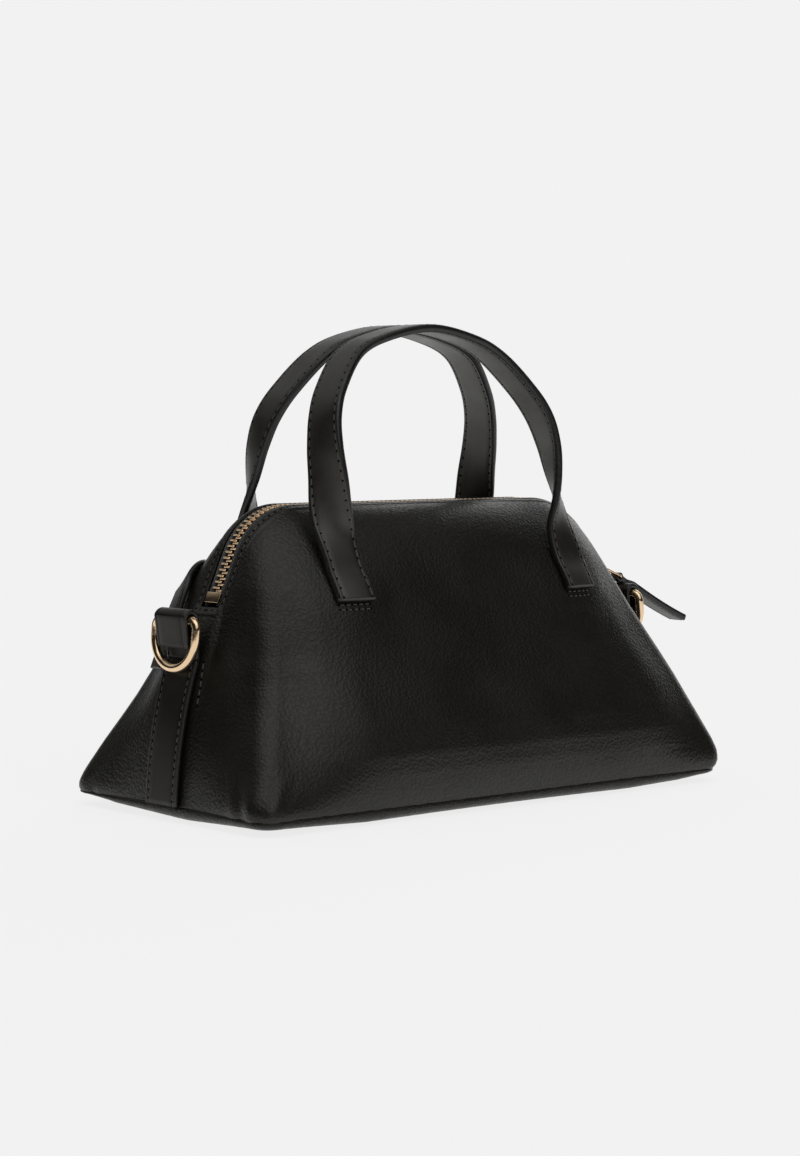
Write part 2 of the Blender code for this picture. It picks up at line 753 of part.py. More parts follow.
def tangent_angle(start, centre, clearance):
    """The angle below the horizontal of the line from start that passes over a round centre."""
    gap = centre - start
    return math.atan2(-gap.z, gap.x) - math.asin(clearance / gap.length)


ROLL_HOLE = RING_WIRE / 2 + PIN_CLEARANCE
ROLL_RADIUS = ROLL_HOLE + SIDE_STRAP_THICKNESS
RIGHT_ROLL = Vector((RIGHT.ring_x, 0, RING_AXIS_HEIGHT))
REST = ROLL_RADIUS + SEAT_GAP + PULLER_THICKNESS / 2
PULLER_FALL = tangent_angle(EYE_POINT, RIGHT_ROLL, REST)
PULLER_WAY = Vector((math.cos(PULLER_FALL), 0, -math.sin(PULLER_FALL)))
PULLER_UP = Vector((math.sin(PULLER_FALL), 0, math.cos(PULLER_FALL)))
PULLER_POINT = EYE_POINT + PULLER_WAY * BAIL_REACH


def wire(name, points, diameter, finish, origin):
    """A closed round wire through points given from its origin."""
    curve = bpy.data.curves.new(name, "CURVE")
    curve.dimensions = "3D"
    curve.bevel_depth = diameter / 2
    curve.bevel_resolution = 2
    curve.render_resolution_u = 0
    spline = curve.splines.new("POLY")
    spline.points.add(len(points) - 1)
    for spot, point in zip(spline.points, points):
        spot.co = (*point, 1)
        spot.radius = 1
    spline.use_cyclic_u = True
    return link(name, curve, finish, PARTS, origin)


def corner(x, y, radius, first):
    """Four points round a corner of a wire, from a turn in quarters."""
    return [
        (x + radius * math.cos(turn), y + radius * math.sin(turn))
        for turn in spaced(first * math.pi / 2, (first + 1) * math.pi / 2, 4)
    ]


def build_bail():
    half = (BAIL_WIDTH - BAIL_WIRE) / 2 - BAIL_CORNER_RADIUS
    near = BAIL_CORNER_RADIUS
    far = BAIL_REACH - BAIL_CORNER_RADIUS
    radius = BAIL_CORNER_RADIUS
    flat = corner(far, half, radius, 0) + corner(near, half, radius, 1)
    flat += corner(near, -half, radius, 2) + corner(far, -half, radius, 3)
    points = [PULLER_WAY * x + Vector((0, y, 0)) for x, y in flat]
    return wire("slider_bail", points, BAIL_WIRE, LIGHT_GOLD, EYE_POINT)


def build_puller():
    """Two layers of leather, narrowed where they turn round the bail's lower bar."""

    def place(x, y, z):
        return PULLER_POINT + PULLER_WAY * x + Vector((0, y, 0)) + PULLER_UP * z

    half_head = (BAIL_WIDTH - 2 * BAIL_WIRE) / 2 - PIN_CLEARANCE
    thin = PULLER_THICKNESS / 2 * PULLER_HEAD_SHARE
    loop = [(PULLER_HEAD_LENGTH, 0), (PULLER_HEAD_LENGTH, thin)]
    loop += round_points(EYE_RADIUS + PULLER_HEAD_WALL, 60, 300)
    loop += [(PULLER_HEAD_LENGTH, -thin)]
    loops = eye_loops(loop, lambda x, z: place(x, -half_head, z))
    head = ring_prism(
        "puller_head", *loops, Vector((0, 2 * half_head, 0)), STRAP_LEATHER, CUTTERS
    )
    start = PULLER_HEAD_LENGTH - JOIN_OVERLAP
    rings = [
        [
            place(x, y, z)
            for x, y in (
                (start, -half_head),
                (start + PULLER_SHOULDER, -PULLER_WIDTH / 2),
                (PULLER_LENGTH, -PULLER_WIDTH / 2),
                (PULLER_LENGTH, PULLER_WIDTH / 2),
                (start + PULLER_SHOULDER, PULLER_WIDTH / 2),
                (start, half_head),
            )
        ]
        for z in (-PULLER_THICKNESS / 2, PULLER_THICKNESS / 2)
    ]
    body = loft("leather_puller", rings, STRAP_LEATHER, PARTS, PULLER_POINT)
    return join(body, [head])


# Side straps and D-rings


def plate(name, outline, holes, half_width, finish):
    """A flat shape in the XZ plane with holes, drawn out both ways along Y."""
    bm = bmesh.new()
    edges = []
    for loop in [outline] + holes:
        verts = [bm.verts.new((p.x, -half_width, p.z)) for p in loop]
        edges += [bm.edges.new((a, b)) for a, b in zip(verts, verts[1:] + verts[:1])]
    filled = bmesh.ops.triangle_fill(bm, use_beauty=True, edges=edges)
    faces = [item for item in filled["geom"] if isinstance(item, bmesh.types.BMFace)]
    grown = bmesh.ops.extrude_face_region(bm, geom=faces)
    moved = [item for item in grown["geom"] if isinstance(item, bmesh.types.BMVert)]
    bmesh.ops.translate(bm, verts=moved, vec=(0, 2 * half_width, 0))
    return mesh_object(name, bm, finish)


def share_at_height(end, height):
    low, high = 0.0, 1.0
    for _ in range(40):
        middle = (low + high) / 2
        if end.point(0, middle).z < height:
            low = middle
        else:
            high = middle
    return low


TAB_TAIL_HEIGHT = RING_AXIS_HEIGHT - TAB_TAIL_DROP
STRAP_LEAVE_HEIGHT = TAB_TAIL_HEIGHT - STRAP_LEAVE_DROP


def build_side_strap(name, end):
    """A strap up the side seam, folded over the ring's bar, with its tail down outside."""
    side = end.side
    axis = Vector((end.ring_x, 0, RING_AXIS_HEIGHT))
    shares = spaced(STRAP_FOOT_SHARE, share_at_height(end, STRAP_LEAVE_HEIGHT), 8)
    inner = [end.inside(0, share, -SEAT_GAP) for share in shares]
    outer = [end.inside(0, share, -SEAT_GAP - SIDE_STRAP_THICKNESS) for share in shares]
    gap = axis - inner[-1]
    inner_turn = math.atan2(gap.z, gap.x * side) - math.asin(ROLL_RADIUS / gap.length)
    tail_x = abs(outer[-1].x) + TAB_TAIL_THICKNESS
    tail = Vector((side * tail_x, 0, TAB_TAIL_HEIGHT))
    fall = axis - tail
    outer_turn = math.atan2(fall.z, fall.x * side) + math.asin(ROLL_RADIUS / fall.length)
    first, last = inner_turn + math.pi / 2, outer_turn - math.pi / 2
    roll = [
        axis + Vector((side * math.cos(turn), 0, math.sin(turn))) * ROLL_RADIUS
        for turn in spaced(first, last, 10)
    ]
    step = Vector((side * (tail_x - TAB_TAIL_THICKNESS), 0, TAB_TAIL_HEIGHT))
    outline = inner + roll + [tail, step] + outer[::-1]
    hole = [
        axis + Vector((math.cos(turn), 0, math.sin(turn))) * ROLL_HOLE
        for turn in (math.tau * i / 16 for i in range(16))
    ]
    return plate(name, outline, [hole], SIDE_STRAP_WIDTH / 2, STRAP_LEATHER)


def build_ring(name, end):
    half = RING_WIDTH / 2
    radius = RING_CORNER_RADIUS
    flat = corner(half - radius, -radius, radius, 0)[::-1]
    bow = RING_DROP - RING_ARM
    flat += [
        (half * math.cos(turn), -RING_ARM - bow * math.sin(turn))
        for turn in spaced(0, math.pi, 11)
    ]
    flat += corner(radius - half, -radius, radius, 1)[::-1]
    down = Vector((end.side * math.sin(RING_TILT), 0, -math.cos(RING_TILT)))
    points = [Vector((0, y, 0)) - down * z for y, z in flat]
    return wire(name, points, RING_WIRE, LIGHT_GOLD, (end.ring_x, 0, RING_AXIS_HEIGHT))


# Handles


def panel_y(x, height):
    """Where the front panel stands at a place along the bag and a height."""
    end = LEFT if x < 0 else RIGHT

    def at(along):
        low, high = 0.0, 1.0
        for _ in range(24):
            middle = (low + high) / 2
            if end.point(along, middle).z < height:
                low = middle
            else:
                high = middle
        return end.point(along, low)

    near, far = 0.0, 1.0
    for _ in range(24):
        middle = (near + far) / 2
        if abs(at(middle).x) > abs(x):
            near = middle
        else:
            far = middle
    return at(near).y


def handle_seat():
    """The hinge's place, and the way up, of straps that lie on the front panel."""
    heights = spaced(HANDLE_FOOT_HEIGHT, HANDLE_HINGE_HEIGHT, 3)
    spots = [
        (panel_y(side * x, height), height)
        for side in (-1, 1)
        for x in (HANDLE_FOOT_X - HANDLE_WIDTH / 2, HANDLE_FOOT_X, HANDLE_FOOT_X + HANDLE_WIDTH / 2)
        for height in heights
    ]
    low = min(y for y, height in spots if height == heights[0])
    high = min(y for y, height in spots if height == heights[-1])
    up = Vector((0, high - low, heights[-1] - heights[0])).normalized()
    out = Vector((0, -up.z, up.y))
    reach = max(Vector((0, y, height)).dot(out) for y, height in spots)
    reach += SEAT_GAP + HANDLE_THICKNESS / 2
    hinge_y = (reach - HANDLE_HINGE_HEIGHT * out.z) / out.y
    return Vector((0, hinge_y, HANDLE_HINGE_HEIGHT)), up


HINGE, LEG_UP = handle_seat()


HANDLE_SIZE = (HANDLE_WIDTH, HANDLE_THICKNESS, HANDLE_EDGE)
SHOULDER_SIZE = (SHOULDER_WIDTH, SHOULDER_THICKNESS, SHOULDER_EDGE)


def strap_ring(centre, way, wide, thick_share=1.0, size=HANDLE_SIZE):
    """A strap's section with its long edges cut back, square to the way it runs."""
    wide = (wide - way * wide.dot(way)).normalized()
    out = wide.cross(way)
    w, t, e = size[0] / 2, size[1] / 2 * thick_share, size[2] * thick_share
    corners = ((w, t - e), (w - e, t), (e - w, t), (-w, t - e))
    corners += tuple((-a, -b) for a, b in corners)
    return [centre + wide * a + out * b for a, b in corners]


def handle_point(side, at):
    """A leg's centre line from its hinge, at 0, to the apex, at 1."""
    last = len(HANDLE_ROUTE_SHARES) - 1
    stations = list(range(last + 1))
    x, y, z = (
        through(stations, [row[i] for row in HANDLE_ROUTE_SHARES], at * last) for i in range(3)
    )
    return Vector(
        (
            side * mix(HANDLE_FOOT_X, 0, x),
            mix(HINGE.y, -HANDLE_APEX_Y, y),
            mix(HANDLE_HINGE_HEIGHT, HANDLE_APEX_HEIGHT, z),
        )
    )


def leg_rings(side):
    """Rings of a handle's leg, from its rounded end at the hinge to the apex."""
    hinge = Vector((side * HANDLE_FOOT_X, HINGE.y, HINGE.z))
    across = Vector((-side, 0, 0))
    rings = []
    for degrees in HANDLE_END_DEGREES:
        turn = math.radians(degrees)
        centre = hinge - LEG_UP * HANDLE_THICKNESS / 2 * math.sin(turn)
        rings.append(strap_ring(centre, LEG_UP, across, math.cos(turn)))
    rings.append(strap_ring(hinge, LEG_UP, across))
    last = len(HANDLE_TURN_DEGREES) - 1
    step_share = 0.01
    for at in spaced(0.0, 1.0, HANDLE_STEPS + 1)[1:]:
        before = handle_point(side, at - step_share)
        way = handle_point(side, at) - before
        if at == 1:
            way = Vector((-side, 0, 0))
        turn = math.radians(through(list(range(last + 1)), HANDLE_TURN_DEGREES, at * last))
        wide = Vector((-side * math.cos(turn), -math.sin(turn), 0))
        rings.append(strap_ring(handle_point(side, at), way.normalized(), wide))
    return rings


def build_handle(name, flip):
    left = leg_rings(-1)
    right = [[Vector((-p.x, p.y, p.z)) for p in ring] for ring in left[:-1]]
    rings = [[Vector((p.x, p.y * flip, p.z)) for p in ring] for ring in left + right[::-1]]
    return loft(name, rings, STRAP_LEATHER, PARTS, (0, HINGE.y * flip, HINGE.z))


def build_handle_ends(prefix, flip):
    """The sewn-down foot of each leg, ending just below the leg's rounded end."""
    top = HINGE - LEG_UP * (HANDLE_THICKNESS / 2 + SEAT_GAP)
    length = (HANDLE_HINGE_HEIGHT - HANDLE_FOOT_HEIGHT) / LEG_UP.z
    foot = HINGE - LEG_UP * length
    for word, side in (("left", -1), ("right", 1)):
        across = Vector((side * HANDLE_FOOT_X, 0, 0))
        rings = [strap_ring(p + across, LEG_UP, Vector((1, 0, 0))) for p in (foot, top)]
        rings = [[Vector((p.x, p.y * flip, p.z)) for p in ring] for ring in rings]
        loft(f"{prefix}_handle_end_{word}", rings, STRAP_LEATHER)


def build_shoulder_strap():
    """The strap's end, which rises off the rear panel, bends over and lies down again."""
    last = len(SHOULDER_ROUTE_SHARES) - 1
    seat = SEAT_GAP + SHOULDER_THICKNESS / 2

    def at(share):
        along, up, rise = (
            through(list(range(last + 1)), [row[i] for row in SHOULDER_ROUTE_SHARES], share * last)
            for i in range(3)
        )
        lift = seat + max(rise, 0) * SHOULDER_RISE
        point, out = LEFT.inside(along, up, -lift), LEFT.normal(along, up)
        return Vector((point.x, -point.y, point.z)), Vector((out.x, -out.y, out.z))

    step_share = 0.01
    rings = []
    for share in spaced(0.0, 1.0, SHOULDER_STEPS + 1):
        centre, out = at(share)
        way = (at(min(share + step_share, 1))[0] - at(max(share - step_share, 0))[0]).normalized()
        rings.append(strap_ring(centre, way, out.cross(way), size=SHOULDER_SIZE))
    loft("shoulder_strap_end", rings, STRAP_LEATHER)


build_panel("front_panel", 1)
build_panel("rear_panel", -1)
build_base_panel()
build_base_board()
build_lining()
build_pocket()
build_tape("zip_tape_front", 1)
build_tape("zip_tape_rear", -1)
build_teeth("zip_teeth_front", 1, 0)
build_teeth("zip_teeth_rear", -1, TOOTH_PITCH / 2)
build_stops()
build_slider()
build_bail()
build_puller()
build_side_strap("side_strap_left", LEFT)
build_side_strap("side_strap_right", RIGHT)
build_ring("d_ring_left", LEFT)
build_ring("d_ring_right", RIGHT)
build_handle("front_handle", 1)
build_handle("rear_handle", -1)
build_handle_ends("front", 1)
build_handle_ends("rear", -1)
build_shoulder_strap()
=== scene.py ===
"""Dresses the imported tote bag: leather, stitching, zip and metal, with the photograph's camera.

Lengths are in millimetres until a mesh is made; the frame itself is in metres.
"""
from math import asin, atan2, cos, degrees, pi, radians, sin, sqrt

import bmesh
import bpy
import numpy as np
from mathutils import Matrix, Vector
from mathutils.bvhtree import BVHTree
from numpy import concatenate as join, linspace


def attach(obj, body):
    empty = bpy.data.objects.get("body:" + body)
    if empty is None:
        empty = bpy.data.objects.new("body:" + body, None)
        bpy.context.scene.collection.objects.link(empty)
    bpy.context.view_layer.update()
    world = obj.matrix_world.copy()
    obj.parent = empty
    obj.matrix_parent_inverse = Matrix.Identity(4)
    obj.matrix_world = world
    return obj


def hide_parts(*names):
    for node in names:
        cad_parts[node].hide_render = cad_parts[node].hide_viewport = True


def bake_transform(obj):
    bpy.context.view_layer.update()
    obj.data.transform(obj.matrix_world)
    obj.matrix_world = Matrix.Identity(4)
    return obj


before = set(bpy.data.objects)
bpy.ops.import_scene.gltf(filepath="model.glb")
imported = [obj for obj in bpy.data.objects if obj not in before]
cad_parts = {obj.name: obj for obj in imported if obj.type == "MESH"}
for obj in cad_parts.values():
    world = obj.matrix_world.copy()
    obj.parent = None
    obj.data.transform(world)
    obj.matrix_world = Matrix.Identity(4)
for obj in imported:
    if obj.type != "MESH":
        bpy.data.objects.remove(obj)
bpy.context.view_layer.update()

SCENE = bpy.context.scene
MM = 0.001
SHARP = radians(50)
QUARTER = pi / 2
Y, Z = np.eye(3)[1:]

# The body's sizes, as in the part's source

BASE_LENGTH, BASE_DEPTH, CORNER_RADIUS = 264.0, 133.0, 9.0
SEAM_HEIGHT, TOP_HEIGHT, PANEL = 6.0, 129.0, 1.5
STATIONS = np.array([0.0, 0.15, 0.33, 0.5, 0.75, 1.0])
RISE = np.array([0.366, 0.325, 0.276, 0.39, 0.537, 0.585]) * (TOP_HEIGHT - SEAM_HEIGHT)
LEAN = np.radians([2, 8, 24, 17, 14, 14])
CREST = np.array([0.09, 0.135, 0.165, 0.286, 0.39, 0.42]) * BASE_DEPTH / 2
TURN_SHARE = 0.09
ZIP_END_HEIGHT, HALF_GAP = 87.0, 6.0
SIDE_STRAIGHT = BASE_DEPTH / 2 - CORNER_RADIUS
CORNER_ARC = CORNER_RADIUS * QUARTER
BASE_QUARTER = SIDE_STRAIGHT + CORNER_ARC + BASE_LENGTH / 2 - CORNER_RADIUS
FOOT_X, FOOT_Z, HINGE_Y, HINGE_Z = 65.0, 90.0, -37.5, 99.0


def smooth(x):
    x = np.clip(x, 0, 1)
    return x * x * (3 - 2 * x)


def bell(x):
    return np.exp(-(x**2))


def through(values, at, stations=None):
    """Values on a smooth curve through a table."""
    values = np.asarray(values, float)
    last = len(values) - 1
    place = np.arange(last + 1)
    stations = place.astype(float) if stations is None else stations
    low, high = np.maximum(place - 1, 0), np.minimum(place + 1, last)
    slope = (values[high] - values[low]) / (stations[high] - stations[low])
    i = np.clip(np.searchsorted(stations, at, side="right") - 1, 0, last - 1)
    width = stations[i + 1] - stations[i]
    s = (at - stations[i]) / width
    a, b, leave, arrive = values[i], values[i + 1], slope[i] * width, slope[i + 1] * width
    return a + s * (leave + s * (3 * (b - a) - 2 * leave - arrive + s * (2 * (a - b) + leave + arrive)))


def vec(x, y, z):
    return np.stack(np.broadcast_arrays(x, y, z), axis=-1).astype(float)


def unit(v):
    return v / np.maximum(np.linalg.norm(v, axis=-1, keepdims=True), 1e-12)


def run_along(points):
    """Distances along a line of points, from its first."""
    return join([[0], np.cumsum(np.linalg.norm(np.diff(points, axis=0), axis=1))])


class BodyEnd:
    """One end of the bag's front. Shares along run from the side seam, shares up from the base seam."""

    def __init__(self, side, end_x, slope, radius, ring_x):
        self.side, self.end_x, self.slope, self.radius = side, end_x, slope, radius
        self.ring_x = side * ring_x
        self.slope_length = (TOP_HEIGHT - ZIP_END_HEIGHT - radius * (1 - cos(slope))) / sin(slope)
        self.arc = radius * slope
        ridge = end_x - self.slope_length * cos(slope) - radius * sin(slope)
        self.zip_length = self.slope_length + self.arc + ridge
        self.edge_length = HALF_GAP + self.zip_length

    def base_outline(self, d):
        turn = np.clip((d - SIDE_STRAIGHT) / CORNER_RADIUS, 0, QUARTER)
        run = np.maximum(d - SIDE_STRAIGHT - CORNER_ARC, 0)
        inset = CORNER_RADIUS * (1 - np.cos(turn)) + run
        y = -np.minimum(d, SIDE_STRAIGHT) - CORNER_RADIUS * np.sin(turn)
        return vec(self.side * (BASE_LENGTH / 2 - inset), y, SEAM_HEIGHT)

    def zip_line(self, d):
        """Point, way to the middle and way out, at distances from this end's zip end."""
        d = np.asarray(d, float)
        s, sine, cosine = self.side, sin(self.slope), cos(self.slope)
        angle = self.slope * (1 - np.clip((d - self.slope_length) / self.arc, 0, 1))
        straight = np.minimum(d, self.slope_length)
        x = self.end_x - straight * cosine - self.radius * (sine - np.sin(angle))
        x = x - np.maximum(d - self.slope_length - self.arc, 0)
        z = ZIP_END_HEIGHT + straight * sine + self.radius * (np.cos(angle) - cosine)
        way = vec(-s * np.cos(angle), 0, np.sin(angle))
        return vec(s * x, 0, z), way, vec(s * np.sin(angle), 0, np.cos(angle))

    def zip_edge(self, d):
        point = self.zip_line(np.maximum(d - HALF_GAP, 0))[0]
        point[..., 1] = -np.minimum(d, HALF_GAP)
        return point

    def point(self, along, up):
        base = self.base_outline(along * BASE_QUARTER)
        edge = self.zip_edge(along * self.edge_length)
        inward = unit((edge - base) * [1, 1, 0])
        lean, rise, crest = (through(v, along, STATIONS)[..., None] for v in (LEAN, RISE, CREST))
        turn = smooth(along / TURN_SHARE) * QUARTER
        leave = vec(self.side * np.cos(turn), -np.sin(turn), 0)
        low = base + (inward * np.sin(lean) + Z * np.cos(lean)) * rise
        high = edge + leave * crest
        up = np.asarray(up)[..., None]
        down = 1 - up
        return base * down**3 + low * 3 * up * down**2 + high * 3 * up**2 * down + edge * up**3

    def normal(self, along, up, step=0.002):
        along, up = np.broadcast_arrays(along, up)
        run = self.point(np.minimum(along + step, 1), up) - self.point(np.maximum(along - step, 0), up)
        rise = self.point(along, np.minimum(up + step, 1)) - self.point(along, np.maximum(up - step, 0))
        n = np.cross(run, rise) * -self.side
        n[along <= step, 1] = 0
        n[along >= 1 - step, 0] = 0
        return unit(n)

    def inside(self, along, up, depth):
        return self.point(along, up) - self.normal(along, up) * depth


LEFT = BodyEnd(-1, 108.0, radians(66), 32.0, 125.5)
RIGHT = BodyEnd(1, 122.0, radians(50), 40.0, 133.0)
ZIP_LENGTH = LEFT.zip_length + RIGHT.zip_length


def zip_frame(d):
    """Point, way right and way out of the whole zip, at distances from its left end."""
    d = np.asarray(d, float)
    left = LEFT.zip_line(np.minimum(d, LEFT.zip_length))
    right = RIGHT.zip_line(np.minimum(ZIP_LENGTH - d, RIGHT.zip_length))
    on_left = (d < LEFT.zip_length)[..., None]
    return [np.where(on_left, a, b * sign) for a, b, sign in zip(left, right, (1, -1, 1))]


# Materials

WARM, GRAIN = (1.0, 0.99, 0.955), 860.0


class Nodes:
    """A short way to write the nodes of a material or a world."""

    def __init__(self, owner):
        owner.use_nodes = True
        self.owner, self.tree = owner, owner.node_tree

    def set(self, socket, value):
        if isinstance(value, bpy.types.NodeSocket):
            self.tree.links.new(value, socket)
        else:
            socket.default_value = value

    def add(self, kind, *inputs, **values):
        """A node, its settings and named inputs, and its first inputs in their order."""
        node = self.tree.nodes.new("ShaderNode" + kind)
        for key, value in values.items():
            if hasattr(node, key):
                setattr(node, key, value)
            else:
                self.set(node.inputs[key.title()], value)
        for socket, value in zip(node.inputs, inputs):
            self.set(socket, value)
        return node

    def times(self, a, b):
        return self.math("MULTIPLY", a, b)

    def math(self, operation, a, b):
        return self.add("Math", a, b, operation=operation).outputs[0]

    def ramp(self, factor, low, high, out_low=0.0, out_high=1.0):
        values = factor, low, high, out_low, out_high
        return self.add("MapRange", *values, interpolation_type="SMOOTHSTEP").outputs[0]

    def mix(self, factor, a, b):
        node = self.add("Mix", factor, data_type="RGBA")
        for socket, value in ((6, a), (7, b)):
            self.set(node.inputs[socket], (*value, 1) if isinstance(value, tuple) else value)
        return node.outputs[2]

    def noise(self, where, scale, detail=3.0):
        return self.add("TexNoise", vector=where, scale=scale, detail=detail, roughness=0.55).outputs["Fac"]

    def cells(self, where, scale, smoothness):
        node = self.add("TexVoronoi", feature="SMOOTH_F1", vector=where, scale=scale, smoothness=smoothness)
        return node.outputs["Distance"]

    def where(self, kind="Object"):
        return self.add("TexCoord").outputs[kind]

    def bump(self, height, distance, strength):
        node = self.add("Bump", distance=distance, strength=strength)
        self.set(node.inputs["Height"], height)
        return node.outputs["Normal"]

    def finish(self, **values):
        shader = self.tree.nodes["Principled BSDF"]
        for key, value in values.items():
            socket = shader.inputs[key.replace("_", " ").title().replace("Ior", "IOR")]
            self.set(socket, (*value, 1) if isinstance(value, tuple) else value)
        return self.owner

    def leather(self, colour, rough, gloss, bump):
        looks = {"base_color": colour, "roughness": rough, "specular_ior_level": gloss, "specular_tint": WARM}
        return self.finish(**looks, normal=bump)


def material(name):
    return Nodes(bpy.data.materials.new(name))


def scaled(colour, by):
    return tuple(min(c * by, 1) for c in colour)


def pebbled_leather(name, dark, light):
    """Soft leather with a rounded pebble grain, finer creases and slight wear."""
    n = material(name)
    where = n.where()
    drift = n.add("TexNoise", vector=where, scale=300.0).outputs["Color"]
    bent = n.add("VectorMath", drift, (0.0008,) * 3, where, operation="MULTIPLY_ADD").outputs[0]
    small = n.cells(bent, GRAIN * 2.1, 1.0)
    wide = n.noise(where, 34.0, 4.0)
    fine = n.noise(where, 4200.0, 2.0)
    round_top = n.ramp(n.cells(bent, GRAIN, 1.0), 0.0, 0.75, 1.0, 0.0)
    height = n.math("ADD", round_top, n.times(small, -0.35))
    height = n.math("ADD", height, n.times(fine, 0.03))
    rough = n.math("ADD", n.ramp(round_top, 0.0, 1.0, 0.46, 0.35), n.ramp(wide, 0.3, 0.7, -0.03, 0.04))
    colour = n.mix(n.ramp(wide, 0.35, 0.75, 0.0, 0.35), n.mix(round_top, dark, light), light)
    return n.leather(colour, rough, 0.42, n.bump(height, 0.00011, 1.0))


def strap_leather(name, gloss, dark=(0.0046, 0.0036, 0.002), light=(0.008, 0.0064, 0.004)):
    """Smooth calf with a very fine grain, for straps."""
    n = material(name)
    where = n.where()
    wide = n.noise(where, 60.0, 4.0)
    fine = n.noise(where, 3800.0, 3.0)
    pores = n.cells(where, 2100.0, 0.5)
    height = n.math("ADD", n.times(pores, -0.6), n.times(fine, 0.4))
    rough = n.math("ADD", n.ramp(wide, 0.3, 0.7, 0.34, 0.44), n.times(fine, 0.06))
    return n.leather(n.mix(n.ramp(wide, 0.3, 0.7), dark, light), rough, gloss, n.bump(height, 0.00005, 0.8))


def painted_edge(name, colour):
    """Edge paint: smooth, slightly uneven and a little glossier than the leather."""
    n = material(name)
    wave = n.noise(n.where(), 700.0)
    colour, rough = n.mix(wave, colour, scaled(colour, 1.6)), n.ramp(wave, 0.3, 0.7, 0.3, 0.42)
    return n.finish(base_color=colour, roughness=rough, normal=n.bump(wave, 0.0001, 0.6))


def thread(name, colour):
    """Waxed thread with a twist."""
    n = material(name)
    twist = n.add("TexWave", vector=n.where(), scale=900.0, distortion=3.0).outputs["Fac"]
    colour, bump = n.mix(twist, scaled(colour, 0.6), colour), n.bump(twist, 0.00008, 0.7)
    return n.finish(base_color=colour, roughness=0.55, sheen_weight=0.15, normal=bump)


def painted_hole_shade(name):
    """A near-black matte material of painted shade, standing in for the shadow in the dimple that a stitch pulls
    into the leather: no gloss, and next to no light.
    """
    n = material(name)
    colour = n.mix(n.noise(n.where(), 900.0), (0.0008, 0.0007, 0.0006), (0.0018, 0.0016, 0.0014))
    return n.finish(base_color=colour, roughness=0.9, specular_ior_level=0.05)


def plated_metal(name, colour, rough):
    """Polished plated metal with faint scratches and handling marks."""
    n = material(name)
    where = n.where()
    smear = n.noise(where, 300.0, 4.0)
    stretched = n.add("Mapping", vector=where, scale=(1.0, 14.0, 1.0)).outputs[0]
    scratch = n.noise(stretched, 1500.0, 2.0)
    colour = n.mix(n.ramp(smear, 0.35, 0.7), colour, scaled(colour, 1.05))
    rough = n.math("ADD", n.ramp(smear, 0.35, 0.7, rough, rough + 0.08), n.times(scratch, 0.05))
    return n.finish(base_color=colour, metallic=1.0, roughness=rough, normal=n.bump(scratch, 0.00001, 0.5))


def woven(name, dark, light, along=2600.0):
    """Woven tape or lining cloth, with its threads along the UV map's two ways."""
    n = material(name)
    u, v = n.add("SeparateXYZ", vector=n.where("UV")).outputs[:2]
    straight = n.math("SINE", n.times(u, along * 2.4), 0.0)
    slant = n.math("ADD", n.times(u, along), n.times(v, along * 1.7))
    slant = n.math("SINE", slant, 0.0)
    weave = n.times(n.math("ADD", straight, 1.0), n.math("ADD", slant, 1.0))
    wide = n.noise(n.where(), 90.0)
    colour = n.mix(n.times(weave, 0.25), dark, light)
    colour = n.mix(n.ramp(wide, 0.3, 0.7, 0.0, 0.3), colour, dark)
    rough = n.ramp(wide, 0.3, 0.7, 0.72, 0.86)
    return n.finish(base_color=colour, roughness=rough, sheen_weight=0.3, normal=n.bump(weave, 0.00012, 0.7))


# The thread, and the near-black painted shade put in its holes
SEWING = [thread("waxed_thread", (0.07, 0.064, 0.054)), painted_hole_shade("stitch_hole_painted_shade")]
SEWN_EDGE = [painted_edge("edge_paint", (0.006, 0.0055, 0.005)), *SEWING]

# Each look's slot and its materials
PEBBLED = "leather_black", [pebbled_leather("pebbled_black", (0.003, 0.0026, 0.0014), (0.0066, 0.0058, 0.0034))]
STITCHES = "leather_black", SEWING
STRAP = "leather_strap", [strap_leather("strap_black", 0.8), *SEWN_EDGE]
DULL_STRAP = "leather_strap", [strap_leather("side_strap_black", 0.25), *SEWN_EDGE]
GOLD = "light_gold", [plated_metal("light_gold", (0.86, 0.63, 0.40), 0.08)]
TAPE = "tape_black", [woven("zip_tape", (0.004, 0.004, 0.004), (0.02, 0.019, 0.018))]
LINING = "lining_black", [woven("lining_cloth", (0.012, 0.012, 0.013), (0.03, 0.03, 0.032), 3200.0)]
BOARD = "board_grey", [painted_edge("board", (0.24, 0.23, 0.21))]


# Meshes

def make(name, points, faces, look, body=None, replaces=(), marks=(), closed=True):
    """A smooth object from points in millimetres. Marks tell which material each face has."""
    slot, materials = look
    mesh = bpy.data.meshes.new(name)
    mesh.from_pydata((np.asarray(points, float).reshape(-1, 3) * MM).tolist(), [], faces)
    mesh.validate()
    mesh.shade_smooth()
    for m in materials:
        mesh.materials.append(m)
    if any(marks):
        mesh.polygons.foreach_set("material_index", marks)
    if closed:
        bm = bmesh.new()
        bm.from_mesh(mesh)
        bmesh.ops.recalc_face_normals(bm, faces=bm.faces)
        bm.to_mesh(mesh)
        bm.free()
    obj = bpy.data.objects.new(name, mesh)
    SCENE.collection.objects.link(obj)
    if body:
        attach(obj, body)
    if replaces:
        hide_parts(*replaces)
    return obj


def add_weave(obj, u, v):
    """A UV map, each of its ways a weighted sum of a vertex's place in metres."""
    co = np.array([vertex.co for vertex in obj.data.vertices])
    index = [loop.vertex_index for loop in obj.data.loops]
    layer = obj.data.uv_layers.new(name="weave")
    layer.data.foreach_set("uv", np.stack([co[index] @ u, co[index] @ v], -1).ravel())


